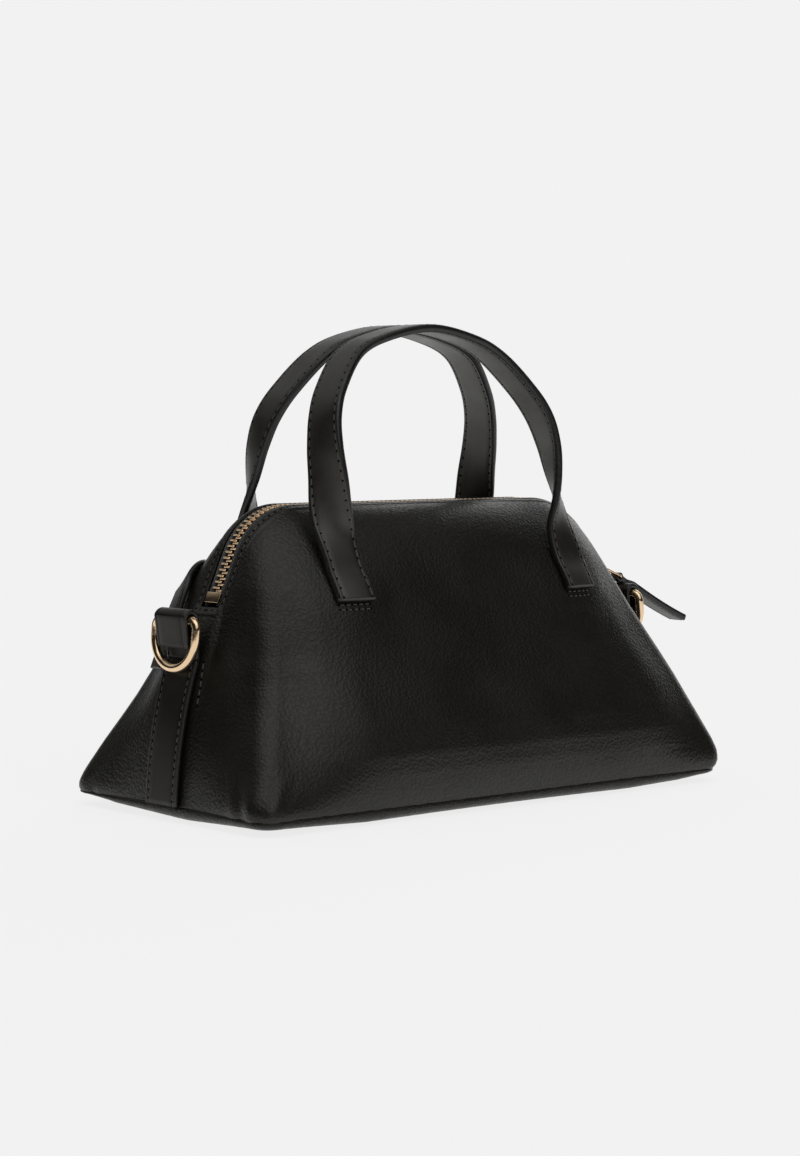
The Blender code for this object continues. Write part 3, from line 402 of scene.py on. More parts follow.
def grid_faces(rows, columns, close_rows=False, close_columns=False, flip=False, offset=0):
    r, c = np.indices((rows - 1 + close_rows, columns - 1 + close_columns))
    r2, c2 = (r + 1) % rows, (c + 1) % columns
    quads = np.stack([r * columns + c, r * columns + c2, r2 * columns + c2, r2 * columns + c], -1)
    quads = quads.reshape(-1, 4) + offset
    return [tuple(q) for q in (quads[:, ::-1] if flip else quads).tolist()]


def capped(rows, columns):
    """Faces of a row of rings, with both ends closed."""
    last = (rows - 1) * columns
    ends = [tuple(range(columns))[::-1], tuple(range(last, last + columns))]
    return grid_faces(rows, columns, close_columns=True) + ends


def shell(outer, inner):
    """Points and faces of a closed shell between two grids of points."""
    rows, columns = outer.shape[:2]
    total = rows * columns
    i = np.arange(total).reshape(rows, columns)
    rim = join([i[:, 0], i[-1, 1:], i[-2::-1, -1], i[0, -2:0:-1]]).tolist()
    faces = grid_faces(rows, columns) + grid_faces(rows, columns, flip=True, offset=total)
    faces += [(a, b, b + total, a + total) for a, b in zip(rim, rim[1:] + rim[:1])]
    return join([outer.reshape(-1, 3), inner.reshape(-1, 3)]), faces


class Bag:
    """Gathers several small solids into one mesh."""

    def __init__(self):
        self.points, self.faces, self.marks, self.count = [], [], [], 0

    def add(self, points, faces, marks=0):
        points = np.asarray(points, float).reshape(-1, 3)
        self.points.append(points)
        self.faces += [tuple(i + self.count for i in f) for f in faces]
        self.marks += marks if isinstance(marks, list) else [marks] * len(faces)
        self.count += len(points)

    def prism(self, place_at, outline, shift, bevel, segments=3, hole=()):
        """Adds a plate of an outline drawn out by a shift, with its edges rounded."""
        bm = bmesh.new()
        edges = []
        for loop in (outline, hole):
            verts = [bm.verts.new(Vector(place_at(*p)) * MM) for p in loop]
            edges += [bm.edges.new((a, b)) for a, b in zip(verts, verts[1:] + verts[:1])]
        filled = bmesh.ops.triangle_fill(bm, use_beauty=True, use_dissolve=True, edges=edges)["geom"]
        faces = [g for g in filled if isinstance(g, bmesh.types.BMFace)]
        grown = bmesh.ops.extrude_face_region(bm, geom=faces)["geom"]
        moved = [g for g in grown if isinstance(g, bmesh.types.BMVert)]
        bmesh.ops.translate(bm, verts=moved, vec=Vector(shift) * MM)
        bmesh.ops.recalc_face_normals(bm, faces=bm.faces)
        sharp = [e for e in bm.edges if len(e.link_faces) == 2 and e.calc_face_angle(0) > SHARP]
        bmesh.ops.bevel(
            bm, geom=sharp, offset=bevel * MM, segments=segments, profile=0.6, affect="EDGES", clamp_overlap=True
        )
        bm.verts.index_update()
        self.add([v.co / MM for v in bm.verts], [tuple(v.index for v in f.verts) for f in bm.faces])
        bm.free()

    def make(self, name, look, body=None, replaces=()):
        return make(name, join(self.points), self.faces, look, body, replaces, self.marks)

    def make_metal(self, name, body, node):
        self.make(name, GOLD, body, [node]).data.set_sharp_from_angle(angle=SHARP)


def arc(x, y, radius, first, last, count, tall=None, endpoint=True):
    """Points of a circle's arc, or an ellipse's, between two angles in quarter turns."""
    t = linspace(first, last, count, endpoint=endpoint) * QUARTER
    return np.stack([x + radius * np.cos(t), y + (tall or radius) * np.sin(t)], -1)


def tube_mesh(path, radius, sides, closed=False, up=(0, 0, 1)):
    """Points and faces of a round tube along a path, closed or with flat ends."""
    path = np.asarray(path, float)
    way = unit(np.roll(path, -1, 0) - np.roll(path, 1, 0) if closed else np.gradient(path, axis=0))
    side, frames, drift = np.asarray(up, float), [], 0.0
    for w in way:
        side = unit(side - w * side.dot(w))
        frames.append((side, np.cross(w, side)))
    if closed:
        a, b = frames[-1][0], frames[0][0]
        drift = atan2(np.dot(np.cross(b, a), way[0]), a.dot(b)) / len(frames)
    turns = linspace(0, 2 * pi, sides, endpoint=False)[:, None]
    rings = []
    for k, ((a, b), r) in enumerate(zip(frames, np.broadcast_to(radius, len(path)))):
        t = turns - drift * k
        rings.append(path[k] + (np.cos(t) * a + np.sin(t) * b) * r)
    faces = grid_faces(len(path), sides, True, True) if closed else capped(len(path), sides)
    return join(rings), faces


# A stitch's shape from end to end: share of its length, height and thickness
STITCH = np.array([
    (0, -0.35, 0.7), (0.08, -0.16, 0.9), (0.25, -0.06, 1), (0.5, -0.02, 1),
    (0.75, -0.06, 1), (0.92, -0.16, 0.9), (1, -0.35, 0.7),
])
# Each stitch hole's bead of painted shade: its radius, how far it stands out and sinks in, and the way its sides
# are turned
SHADE_BEAD_R, SHADE_BEAD_RISE, SHADE_BEAD_SINK, SHADE_BEAD_UP = 0.5, 0.1, 0.3, (0.31, 0.47, 0.83)


def stitch_row(bag, points, lifts, pitch, fill, thick, mark=0):
    """Stitches along a line of surface points, evenly spaced, with a near-black bead of painted shade at each
    hole between each two.
    """
    points, lifts = np.asarray(points, float), np.asarray(lifts, float)
    run = run_along(points)
    count = max(int(round(run[-1] / pitch)), 1)
    step = run[-1] / count

    def at(values, d):
        return np.array([np.interp(d, run, column) for column in values.T])

    for k in range(count + 1):
        # A short near-black tube of painted shade in each stitch hole, with the material after the thread's
        hole, lift = at(points, k * step), unit(at(lifts, k * step))
        path = [hole - lift * SHADE_BEAD_SINK, hole + lift * SHADE_BEAD_RISE]
        bag.add(*tube_mesh(path, SHADE_BEAD_R, 8, up=SHADE_BEAD_UP), mark + 1)
    for k in range(count):
        start = (k + (1 - fill) / 2) * step
        end = start + fill * step
        a, b, lift = at(points, start), at(points, end), unit(at(lifts, (start + end) / 2))
        path = a + (b - a) * STITCH[:, :1] + lift * STITCH[:, 1:2]
        bag.add(*tube_mesh(path, STITCH[:, 2] * thick, 6, up=lift), mark)


# Leather panels

FOLD_WIDTH, FOLD_RISE, FOLD_STITCH, LIP_DROP, LIP_RADIUS = 5.2, 0.3, 2.7, 0.6, 1.1
TOPSTITCH_PITCH, SEAM_DROP, SEAM_SINK = 3.4, 1.0, 0.3
# The rows' distances from the zip's edge and from the base seam; the middle is shared out evenly
TOP_ROWS = np.array([
    0, 0.12, 0.3, 0.55, 0.9, 1.4, 1.9, 2.25, 2.5, 2.7, 2.9, 3.15, 3.6, 4.2, 4.7, 5.0, 5.3, 5.7, 6.3, 7.2,
])
LOW_ROWS = np.array([0, 0.15, 0.35, 0.6, 0.95, 1.4, 2.0, 2.8, 4.0])
MIDDLE_ROWS, COLUMNS, ROW_TABLE = 78, 150, 160
NEAR_SEAM, SEAM_COLUMNS = 0.06, 14
WAVE, FULLNESS, PLAIN_Y = 0.55, 3.0, 12.5


def surface_waves(p):
    """Slow rises and hollows of soft leather, kept out of the seated straps, and full round the handles' feet."""
    x, y, z = p[..., 0], p[..., 1], p[..., 2]
    wave = (
        0.55 * np.sin(x / 23.0 + 1.1 + z / 40.0) * np.sin(z / 17.0 + 0.6)
        + 0.35 * np.sin(x / 11.5 - z / 16.0 + 2.2)
        + 0.25 * np.sin(x / 7.3 + z / 9.7 + y / 12.0)
    )
    from_foot = np.abs(x) - FOOT_X
    off_seams = smooth((z - SEAM_HEIGHT) / 14) * smooth((TOP_HEIGHT - 8 - z) / 22)
    off_strap = np.where(np.abs(x) > 95, smooth((np.abs(y) - PLAIN_Y) / 9), 1)
    off_feet = smooth((np.hypot(from_foot, (z - 95) * 1.3) - 13) / 12)
    return wave * WAVE * off_seams * off_strap * off_feet + FULLNESS * bell(from_foot / 24) * bell((z - 91) / 17)


CREASES = (
    # start, end, depth, width
    ((-130, -62, 9), (-121, -60, 24), 0.9, 2.2),
    ((-124, -64, 8), (-112, -60, 20), 0.6, 2.0),
    ((-132, -52, 9), (-127, -46, 23), 0.7, 2.4),
    ((-133, 52, 9), (-126, 44, 22), 0.7, 2.3),
    ((130, -62, 9), (120, -59, 22), 0.8, 2.3),
    ((132, -50, 9), (126, -44, 24), 0.6, 2.2),
    ((132, 50, 9), (126, 44, 22), 0.6, 2.2),
)


def crease_depth(p):
    total = np.zeros(p.shape[:-1])
    for start, end, depth, width in CREASES:
        a, b = np.array(start, float), np.array(end, float)
        t = np.clip(((p - a) @ (b - a)) / ((b - a) @ (b - a)), 0, 1)
        d = np.linalg.norm(p - (a + (b - a) * t[..., None]), axis=-1) / width
        total += depth * (1 - t * 0.8) * (bell(d) - 0.45 * bell(d - 2.3))
    return total


# How far the soft body stands out of the part's surface, by height: each end's corner, and the long sides
SWAY_Z = (6, 8, 10, 14, 20, 28, 38, 48, 58, 68, 80, 95)
SWAY_LEFT = (0, 2.2, 2.8, 2.4, 1.2, 0.0, -1.8, -3.6, -4.7, -4.2, -1.8, 0)
SWAY_RIGHT = (0, 3.0, 4.6, 5.6, 5.8, 5.4, 4.8, 4.2, 3.0, 1.6, 0.4, 0)
SWAY_SIDE = (0, 1.3, 2.6, 4.4, 6.3, 7.7, 7.4, 5.8, 3.9, 2.2, 0.8, 0)
CORNER_SHARE, CORNER_REACH = 0.33, 0.27


def sway(p, side, along):
    """Moves points of the front, before any mirroring, out or in near the body's corners."""
    corner = smooth(1 - np.abs(along - CORNER_SHARE) / CORNER_REACH)
    front = smooth((along - CORNER_SHARE) / CORNER_REACH)
    if side > 0:
        corner = np.where(along > CORNER_SHARE, 1 - front, corner)
    ends = np.interp(p[..., 2], SWAY_Z, SWAY_LEFT if side < 0 else SWAY_RIGHT)
    fuller = np.interp(p[..., 2], SWAY_Z, SWAY_SIDE)
    return p + (corner * ends)[..., None] * [side, -1, 0] * sqrt(0.5) - (front * fuller)[..., None] * Y


def panel_grid():
    """Surface, way out, and distances from base and edge, over the whole front. Its rows lie at surface
    distances from the edge and the base that suit the fold and the seam."""
    ups = linspace(0, 1, ROW_TABLE)
    near, far = linspace(0, NEAR_SEAM, SEAM_COLUMNS)[:-1], linspace(NEAR_SEAM, 1, COLUMNS)
    halves = []
    for end in (LEFT, RIGHT):
        columns = []
        for along in join([near, far]):
            run = run_along(end.point(np.full(ROW_TABLE, along), ups))
            top = run[-1] - TOP_ROWS[::-1]
            low = join([LOW_ROWS, linspace(LOW_ROWS[-1], top[0], MIDDLE_ROWS + 2)[1:-1], top])
            up, a = np.interp(low, run, ups), np.full(low.shape, along)
            columns.append((sway(end.point(a, up), end.side, a), end.normal(a, up), low, run[-1] - low))
        halves.append([np.array(v) for v in zip(*columns)])
    return [join([left, right[::-1][1:]]) for left, right in zip(*halves)]


SURFACE, WAY_OUT, LOW, HIGH = panel_grid()


def fold_height(high):
    """The edge's turned fold: rounded at the edge, a groove along the stitches, then a step."""
    over = 1 - np.minimum(high, LIP_RADIUS) / LIP_RADIUS
    rounded = (FOLD_RISE + LIP_DROP) * np.sqrt(np.clip(1 - over**2, 0, 1)) - LIP_DROP
    fall = 1 - smooth((high - FOLD_WIDTH + 0.5) / 0.9)
    return rounded * fall - 0.2 * bell((high - FOLD_STITCH) / 0.55)


class Panel:
    """A dressed leather panel, for straps and stitches to be seated on."""

    def __init__(self, word, flip):
        self.side = -flip
        p, self.out = SURFACE * [1, flip, 1], WAY_OUT * [1, flip, 1]
        sink = SEAM_SINK * (1 - smooth(LOW / 1.2))
        raise_by = fold_height(HIGH) + surface_waves(p) - crease_depth(p) - sink
        outer = p + self.out * raise_by[..., None]
        outer[..., 2] -= SEAM_DROP * (1 - smooth(LOW / 5.0))
        outer[..., 1] = (np.minimum if flip > 0 else np.maximum)(outer[..., 1], 0)
        make(f"{word}_leather", *shell(outer, p - self.out * PANEL), PEBBLED, "bag", [f"{word}_panel"])
        self.outer = outer
        self.tree = BVHTree.FromPolygons(outer.reshape(-1, 3).tolist(), grid_faces(*outer.shape[:2]))

    def spot(self, x, z):
        """The panel's point and way out at a place seen from its side."""
        point, normal = self.tree.ray_cast(Vector((x, self.side * 200.0, z)), Vector((0, -self.side, 0)))[:2]
        return np.array(point), np.array(normal) * (-1 if normal.y * self.side < 0 else 1)

    def sew_through(self, bag, line, pitch):
        points, lifts = zip(*(self.spot(x, z) for x, z in line))
        stitch_row(bag, points, lifts, pitch, 0.7, 0.3)

    def topstitch(self, name):
        """The stitches round the zip's opening, a fixed distance in from the folded edge."""
        row = np.argmin(np.abs(HIGH[len(HIGH) // 2] - FOLD_STITCH))
        points, lifts = self.outer[:, row], self.out[:, row]
        keep = np.abs(points[:, 1]) > 0.4
        bag = Bag()
        stitch_row(bag, points[keep] + lifts[keep] * 0.05, lifts[keep], TOPSTITCH_PITCH, 0.66, 0.28)
        bag.make(name, STITCHES, "bag")


FRONT, REAR = Panel("front", 1), Panel("rear", -1)
FRONT.topstitch("topstitch_front")
REAR.topstitch("topstitch_rear")


# Base

BASE_RIM = SEAM_HEIGHT - PANEL * sin(float(LEAN.max())) - 0.6
LONG_POINTS, SHORT_POINTS, CORNER_POINTS = 90, 46, 14


def outline_ring(inset, height, bulge=0.0):
    """The base outline drawn in by an inset, with points close enough for small puckers."""
    radius = max(CORNER_RADIUS - inset, 2.0)
    x, y = BASE_LENGTH / 2 - inset - radius, BASE_DEPTH / 2 - inset - radius
    centres = ((x, y), (-x, y), (-x, -y), (x, -y))
    corners = [arc(*centre, radius, k, k + 1, CORNER_POINTS) for k, centre in enumerate(centres)]
    flat = []
    for k, corner in enumerate(corners):
        count = SHORT_POINTS if k % 2 else LONG_POINTS
        flat += [corner, linspace(corner[-1], corners[(k + 1) % 4][0], count)[1:-1]]
    flat = join(flat)
    middle = np.roll(flat, -1, 0) - np.roll(flat, 1, 0)
    out = unit(middle[:, ::-1] * [1, -1])
    turn = np.arange(len(flat))[:, None]
    pucker = 0.12 * np.sin(turn * 1.9) * np.sin(turn * 0.37)
    return np.column_stack([flat + out * (bulge + pucker * (bulge > 0)), np.full(len(flat), height)])


RIM_LIFTS = (
    # x and y of a place on the outline, lift there, and how far it reaches
    (-132, 66, 4.8, 40), (-132, -66, 2.4, 55), (132, -66, 3.4, 32), (132, 66, 3.4, 32), (0, -66, 1.4, 110),
    (0, 66, 1.4, 110), (-132, 66, 3.2, 70), (132, -66, 2.2, 60), (132, 66, 2.2, 60),
)
LIFT_REACH = 26.0


def lifted(points, full=0.0):
    """Points of the base bent up off the table near its edge, less and less towards the base seam."""
    points = np.array(points, float)
    x, y, z = points[..., 0], points[..., 1], points[..., 2]
    total = 0
    for lift_x, lift_y, lift, reach in RIM_LIFTS:
        total = np.maximum(total, lift * bell(np.hypot(x - lift_x, y - lift_y) / reach))
    inset = np.minimum(BASE_LENGTH / 2 - np.abs(x), BASE_DEPTH / 2 - np.abs(y))
    share = np.clip(1 - np.maximum(inset, 0) / LIFT_REACH, 0, 1)
    points[..., 2] += total * share * (2 - share) * np.maximum(np.clip(1 - z / SEAM_HEIGHT, 0, 1), full)
    return points


def closed_in(rings):
    """Rings with one more after the last, drawn in nearly to a point."""
    return rings + [rings[-1] * [0.05, 0.05, 1]]


outer = [outline_ring(2.6, BASE_RIM + 1.0)]
for turn in linspace(-0.35, QUARTER, 14):
    bulge = 0.5 * sin(2 * max(turn, 0)) + 0.7 * cos(turn) ** 2
    outer.append(outline_ring(BASE_RIM * (1 - cos(turn)), BASE_RIM * (1 - sin(turn)), bulge))
outer += [outline_ring(inset, 0) for inset in (9, 15, 22, 30)]
inner = [(2.7, BASE_RIM - 0.4), (3.6, 3.4), (5.2, 1.8), (15, 1.8), (30, 1.8)]
rings = closed_in(outer)[::-1] + closed_in([outline_ring(inset, z) for inset, z in inner])
faces = capped(len(rings), len(rings[0]))
make("base_leather", [lifted(ring) for ring in rings], faces, PEBBLED, "bag", ["base_panel"])


# Straps

FACE, SIDE, SEWN = 0, 1, 2
# Each strap's half width, half thickness, round edge, the stitches' inset, their groove, and its crown
HANDLE = (9.0, 1.75, 1.1, 2.1, 0.16, 0.1)
SIDE_STRAP = (10.5, 1.1, 0.8, 2.2, 0.14, 0.06)
SHOULDER = (6.0, 1.2, 0.7, 1.8, 0.14, 0.06)
PULLER = (5.25, 1.5, 0.6, 1.5, 0.14, 0.08)
STRAP_PITCH, HANDLE_PITCH, STRAP_FILL, THREAD_SINK = 3.4, 4.2, 0.64, 0.08


def strap_section(half_width, half_thick, edge, inset, groove, crown):
    """A strap's section, a face and its edge and then the same again turned round, with marks for the edges."""
    flat, sewn = half_width - edge, half_width - inset
    places = {flat, flat * 0.96, sewn * 0.66, sewn * 0.33, *(sewn + off for off in (0.45, 0.2, 0, -0.2, -0.5))}
    half = []
    for a in sorted({0.0} | places | {-place for place in places}):
        dip = groove * bell((abs(a) - sewn) / 0.28)
        half.append((a, half_thick - dip + crown * cos(a / flat * QUARTER), FACE))
    for t in np.radians([72, 50, 25, 0, -25, -50, -72]):
        half.append((flat + edge * cos(t), half_thick * sin(t), SIDE))
    return half + [(-a, -b, mark) for a, b, mark in half]


def add_strap(bag, rings, section):
    """A strap from its rings of section points, with its cut edges marked."""
    marks = [mark for _, _, mark in section]
    edges = [max(pair) for pair in zip(marks, marks[1:] + marks[:1])]
    bag.add(rings, capped(len(rings), len(section)), edges * (len(rings) - 1) + [SIDE, SIDE])


def sewn_strap(path, wide, out, shape, pitch=STRAP_PITCH, faces=(1, -1), sewn=slice(1, -1)):
    """A strap along a path with a frame at each point, stitched along its edges on one or both faces."""
    half_width, half_thick, _, inset = shape[:4]
    section = strap_section(*shape)
    a, b = np.array(section).T[:2, :, None]
    bag = Bag()
    add_strap(bag, path[:, None] + wide[:, None] * a + out[:, None] * b, section)
    for face in faces:
        for side in (-1, 1):
            line = path + wide * side * (half_width - inset) + out * face * (half_thick - THREAD_SINK)
            stitch_row(bag, line[sewn], out[sewn] * face, pitch, STRAP_FILL, 0.26, SEWN)
    return bag


# Handles

APEX_Z, APEX_Y = 204.6, 9.6
# From the hinge to the apex: shares of the way in, forward and up, and the strap's turn in degrees
ROUTE = np.array([
    (0, 0, 0), (0, 0.24, 0.144), (-0.015, 0.34, 0.262), (-0.01, 0.415, 0.387), (0, 0.52, 0.518),
    (0.045, 0.645, 0.639), (0.153, 0.8, 0.754), (0.362, 0.975, 0.89), (0.615, 0.995, 0.96), (1, 1, 1),
])
TURN = (0, 11, 38, 62, 77, 86, 89, 90, 90, 90)
LEG_UP = unit(np.array([0, 0.4388, 0.8986]))
BEND_LOW, BEND_HIGH = -2.6, 9.0
FOOT_PITCH, FOOT_DROPS, FOOT_SPAN = 2.8, (1.5, 3.5), 7.5


def leg_path():
    """Centre line and frame of the left leg, from foot to apex."""
    hinge = np.array([-FOOT_X, HINGE_Y, HINGE_Z])
    run = (HINGE_Z - FOOT_Z) / LEG_UP[2]
    foot = [hinge - LEG_UP * d for d in linspace(run, 0, 9)[:-1]]
    at = linspace(0, len(ROUTE) - 1, 110)
    past_apex = ROUTE[-2] * [-1, 1, 1] + [2, 0, 0]
    x, y, z = (through(column, at) for column in np.vstack([ROUTE, past_apex]).T)
    leg = vec(-FOOT_X * (1 - x), HINGE_Y + (-APEX_Y - HINGE_Y) * y, HINGE_Z + (APEX_Z - HINGE_Z) * z)
    way = np.gradient(leg, axis=0)
    way[-1] = (1, 0, 0)
    ways = unit(join([[LEG_UP] * len(foot), way]))
    turn = np.radians(join([np.zeros(len(foot)), through(TURN, at)]))
    wide = vec(np.cos(turn), -np.sin(turn), 0)
    wide = unit(wide - ways * (wide * ways).sum(-1, keepdims=True))
    return join([foot, leg]), wide, np.cross(wide, ways)


def seat_on_panel(points):
    """Lays the legs' sewn ends on the panel, and leaves the legs above them as they are."""
    weights = 1 - smooth((points[:, 2] - HINGE_Z + 3) / 12)
    for i in np.where(weights > 0)[0]:
        x, _, z = points[i]
        plane_y = HINGE_Y + ((z - HINGE_Z) * LEG_UP[1] + HANDLE[1]) / LEG_UP[2]
        points[i, 1] += (FRONT.spot(x, z)[0][1] - 0.12 - plane_y) * weights[i]
    return points


def build_handle(word, flip):
    path, wide, out = (join([v, v[-2::-1] * [-1, 1, 1]]) for v in leg_path())
    bag = sewn_strap(path, wide, out, HANDLE, HANDLE_PITCH)
    bag.points = [seat_on_panel(join(bag.points)) * [1, flip, 1]]
    nodes = [f"{word}_handle", f"{word}_handle_end_left", f"{word}_handle_end_right"]
    obj = bag.make(f"{word}_strap", STRAP, None, nodes)
    hinge = np.array([0, HINGE_Y, HINGE_Z])
    start, end = ((hinge + LEG_UP * d) * [1, flip, 1] * MM for d in (BEND_LOW, BEND_HIGH))
    tuple(start)
    tuple(end)
    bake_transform(obj)


def foot_stitches(word, panel):
    """The rows that hold each handle's foot, sewn through the panel just below it."""
    bag = Bag()
    for x in (-FOOT_X, FOOT_X):
        for drop in FOOT_DROPS:
            line = [(x + a, FOOT_Z - drop) for a in linspace(-FOOT_SPAN, FOOT_SPAN, 13)]
            panel.sew_through(bag, line, FOOT_PITCH)
    bag.make(f"{word}_foot_stitches", STITCHES, "bag")


for word, flip, panel in (("front", 1, FRONT), ("rear", -1, REAR)):
    build_handle(word, flip)
    foot_stitches(word, panel)


# Side straps, shoulder strap and D-rings

RING_Z, RING_WIRE, RING_WIDTH, RING_DROP, RING_ARM, RING_CORNER = 83.0, 3.7, 28.0, 20.4, 7.5, 4.0
RING_TILT = radians(5)
TAIL_Z, TAIL_OFF, LEAVE_Z = 71.5, 2.4, 66.0
SIDE_T = SIDE_STRAP[1]
ROLL = RING_WIRE / 2 + 0.35 + SIDE_T


def side_strap(word, end):
    """A strap up the end's side seam, rolled over the D-ring's bar and down again as a short tail."""
    seam, shares = np.zeros(400), linspace(0.004, 1, 400)
    line = end.inside(seam, shares, -0.3 - SIDE_T)[end.point(seam, shares)[:, 2] < LEAVE_Z]
    flat = line[:, [0, 2]] * [end.side, 1]
    leave, axis = flat[-1], np.array([end.ring_x * end.side, RING_Z])
    tail = np.array([leave[0] + 2 * SIDE_T + TAIL_OFF, TAIL_Z])
    turns = []
    for gap, hand in ((axis - leave, 1), (axis - tail, -1)):
        turns.append(atan2(gap[1], gap[0]) + hand * (QUARTER - asin(ROLL / np.linalg.norm(gap))))
    first, last = turns
    if last > first:
        last -= 2 * pi
    roll = arc(*axis, ROLL, first / QUARTER, last / QUARTER, 40)
    rise, drop = linspace(leave, roll[0], 14)[1:-1], linspace(roll[-1], tail, 9)[1:]
    seated = flat[::6]
    route = join([seated, [leave], rise, roll, drop])
    path = vec(route[:, 0] * end.side, 0, route[:, 1])
    wide = np.tile(Y * -end.side, (len(path), 1))
    out = np.cross(unit(np.gradient(path, axis=0)), wide)
    sewn = slice(1, len(seated) + len(rise))
    bag = sewn_strap(path, wide, out, SIDE_STRAP, faces=(1,), sewn=sewn)
    bag.make(f"strap_leather_{word}", DULL_STRAP, "bag", [f"side_strap_{word}"])


side_strap("left", LEFT)
side_strap("right", RIGHT)

SHOULDER_GAP, SHOULDER_RISE = 0.5, 1.2
# Shares along and up the rear's left half, and how far the strap stands off the panel
SHOULDER_ROUTE = np.array([
    (0.50, 0.42, 0.0), (0.47, 0.53, 0.0), (0.43, 0.605, 0.1), (0.38, 0.645, 0.3), (0.33, 0.65, 0.6),
    (0.285, 0.635, 0.9), (0.25, 0.595, 1.0), (0.22, 0.54, 0.8), (0.195, 0.475, 0.4), (0.18, 0.42, 0.0),
])


# The end of the shoulder strap, which rises off the rear panel, bends over and lies down again
at = linspace(0, len(SHOULDER_ROUTE) - 1, 90)
along, up, rise = (through(column, at) for column in SHOULDER_ROUTE.T)
out = LEFT.normal(along, up) * [1, -1, 1]
lift = SHOULDER_GAP + SHOULDER[1] + np.maximum(rise, 0) * SHOULDER_RISE
path = sway(LEFT.point(along, up), -1, along) * [1, -1, 1] + out * lift[:, None]
way = unit(np.gradient(path, axis=0))
wide = unit(np.cross(out, way))
bag = sewn_strap(path, wide, np.cross(way, wide), SHOULDER)
bag.make("shoulder_strap_leather", STRAP, "bag", ["shoulder_strap_end"])


# The row that holds the left strap's inner end, sewn through the front panel beside the strap
bag = Bag()
FRONT.sew_through(bag, linspace((-119.3, 65.5), (-124.2, 48.0), 15), STRAP_PITCH)
bag.make("side_stitches", STITCHES, "bag")


def gold_loop(name, path, wire, sides, up, body, node):
    points, faces = tube_mesh(path, wire / 2, sides, closed=True, up=up)
    make(name, points, faces, GOLD, body, [node])


def d_ring(word, end):
    half, r = RING_WIDTH / 2, RING_CORNER
    bar = linspace((r - half, 0), (half - r, 0), 12)[1:-1]
    flat = join([
        arc(half - r, -r, r, 1, 0, 12), arc(0, -RING_ARM, half, 0, 2, 56, RING_ARM - RING_DROP),
        arc(r - half, -r, r, 2, 1, 12), bar,
    ])
    down = np.array([end.side * sin(RING_TILT), 0, -cos(RING_TILT)])
    path = Y * flat[:, :1] - down * flat[:, 1:] + [end.ring_x, 0, RING_Z]
    gold_loop(f"ring_metal_{word}", path, RING_WIRE, 28, (1, 0, 0.1), f"{word}_ring", f"d_ring_{word}")


d_ring("left", LEFT)
d_ring("right", RIGHT)


# Zip

CHAIN, TAPE_T, TAPE_INSET, TAPE_FULL = 3.15, 0.6, 1.0, 12
UNDER = PANEL + 0.3 + TAPE_T / 2
# Across the tape from the teeth outwards: place and depth
TAPE_SECTION = ((3.0, 0.7), (3.6, 0.68), (4.2, 0.7), (4.8, 0.73), (5.1, 1.1), (5.35, 1.7), (5.5, UNDER))
CORD_Y, CORD_R = 3.0, 0.75
PITCH, TEETH_START, TEETH_END, TOOTH_HALF = 2.7, 7.0, 7.45, 0.5


def build_tape(word, flip):
    """Woven tape beside the teeth, bent down and out under the panel's edge, with its cord."""
    rows = []
    for end, order in ((LEFT, 1), (RIGHT, -1)):
        near, far = linspace(TAPE_INSET, TAPE_FULL, 14)[:-1], linspace(TAPE_FULL, end.zip_length, 110)
        d = join([near, far])
        point, _, out = end.zip_line(d)
        flat = [point - Y * y - out * depth for y, depth in TAPE_SECTION]
        widen = smooth((d - TAPE_INSET) / 9)[:, None]
        for up in (0.95, 0.88):
            narrow = flat[-1] - Y * 0.3 - out * 0.3
            under = end.inside((HALF_GAP + d) / end.edge_length, up, UNDER)
            flat.append(narrow * (1 - widen) + under * widen)
        rows.append(np.stack(flat, 1)[::order])
    top = join([rows[0], rows[1][1:]]) * [1, flip, 1]
    normal = unit(np.cross(np.gradient(top, axis=0), np.gradient(top, axis=1)))
    normal *= np.sign(normal[len(top) // 2, 1, 2]) * TAPE_T / 2
    bag = Bag()
    bag.add(*shell(top + normal, top - normal))
    point, _, out = zip_frame(linspace(TEETH_START - 2, ZIP_LENGTH - 10, 260))
    bag.add(*tube_mesh(point - Y * CORD_Y * flip - out, CORD_R, 10, up=Y))
    add_weave(bag.make(f"tape_woven_{word}", TAPE, "bag", [f"zip_tape_{word}"]), (1, 0, 0.7), Y)


build_tape("front", 1)
build_tape("rear", -1)

# Sections of a tooth from its head, past the middle, to its root in the tape: place across, height and
# thickness along the zip
TOOTH = (
    (-0.95, 0.9, 0.5), (-0.8, 1.5, 0.9), (-0.35, 1.85, 1.12), (0.25, 1.8, 0.98), (0.8, 2.1, 0.84),
    (1.4, 2.3, 0.9), (2.6, 2.4, 1.02), (3.05, 2.25, 0.98), (3.2, 1.7, 0.7),
)
TOOTH_SIDES, TOOTH_SQUARE = 12, 0.55


def build_teeth(word, flip, offset):
    bag = Bag()
    c, s = (np.sign(v) * np.abs(v) ** TOOTH_SQUARE / 2 for v in arc(0, 0, 1, 0, 4, TOOTH_SIDES, endpoint=False).T)
    for i in range(int((ZIP_LENGTH - TEETH_START - TEETH_END - offset) / PITCH)):
        (point,), (way,), (out,) = zip_frame([TEETH_START + offset + PITCH * i + TOOTH_HALF])
        middles = [(point - out - Y * y * flip, high, thick) for y, high, thick in TOOTH]
        rings = [at + way * thick * c[:, None] + out * high * s[:, None] for at, high, thick in middles]
        bag.add(rings, capped(len(TOOTH), TOOTH_SIDES))
    bag.make(f"teeth_metal_{word}", GOLD, "bag", [f"zip_teeth_{word}"])


build_teeth("front", 1, 0)
build_teeth("rear", -1, PITCH / 2)


def zip_stop(name, end, d, length, boxes, node):
    """A stop made of boxes, each given by its two sides and its low and high faces."""
    (point,), (way,), (out,) = end.zip_line([d])
    bag = Bag()
    for y0, y1, z0, z1 in boxes:
        outline = [(y0, z0), (y1, z0), (y1, z1), (y0, z1)]
        bag.prism(lambda y, z: point + Y * y + out * z, outline, way * length, 0.22)
    bag.make_metal(name, "bag", node)


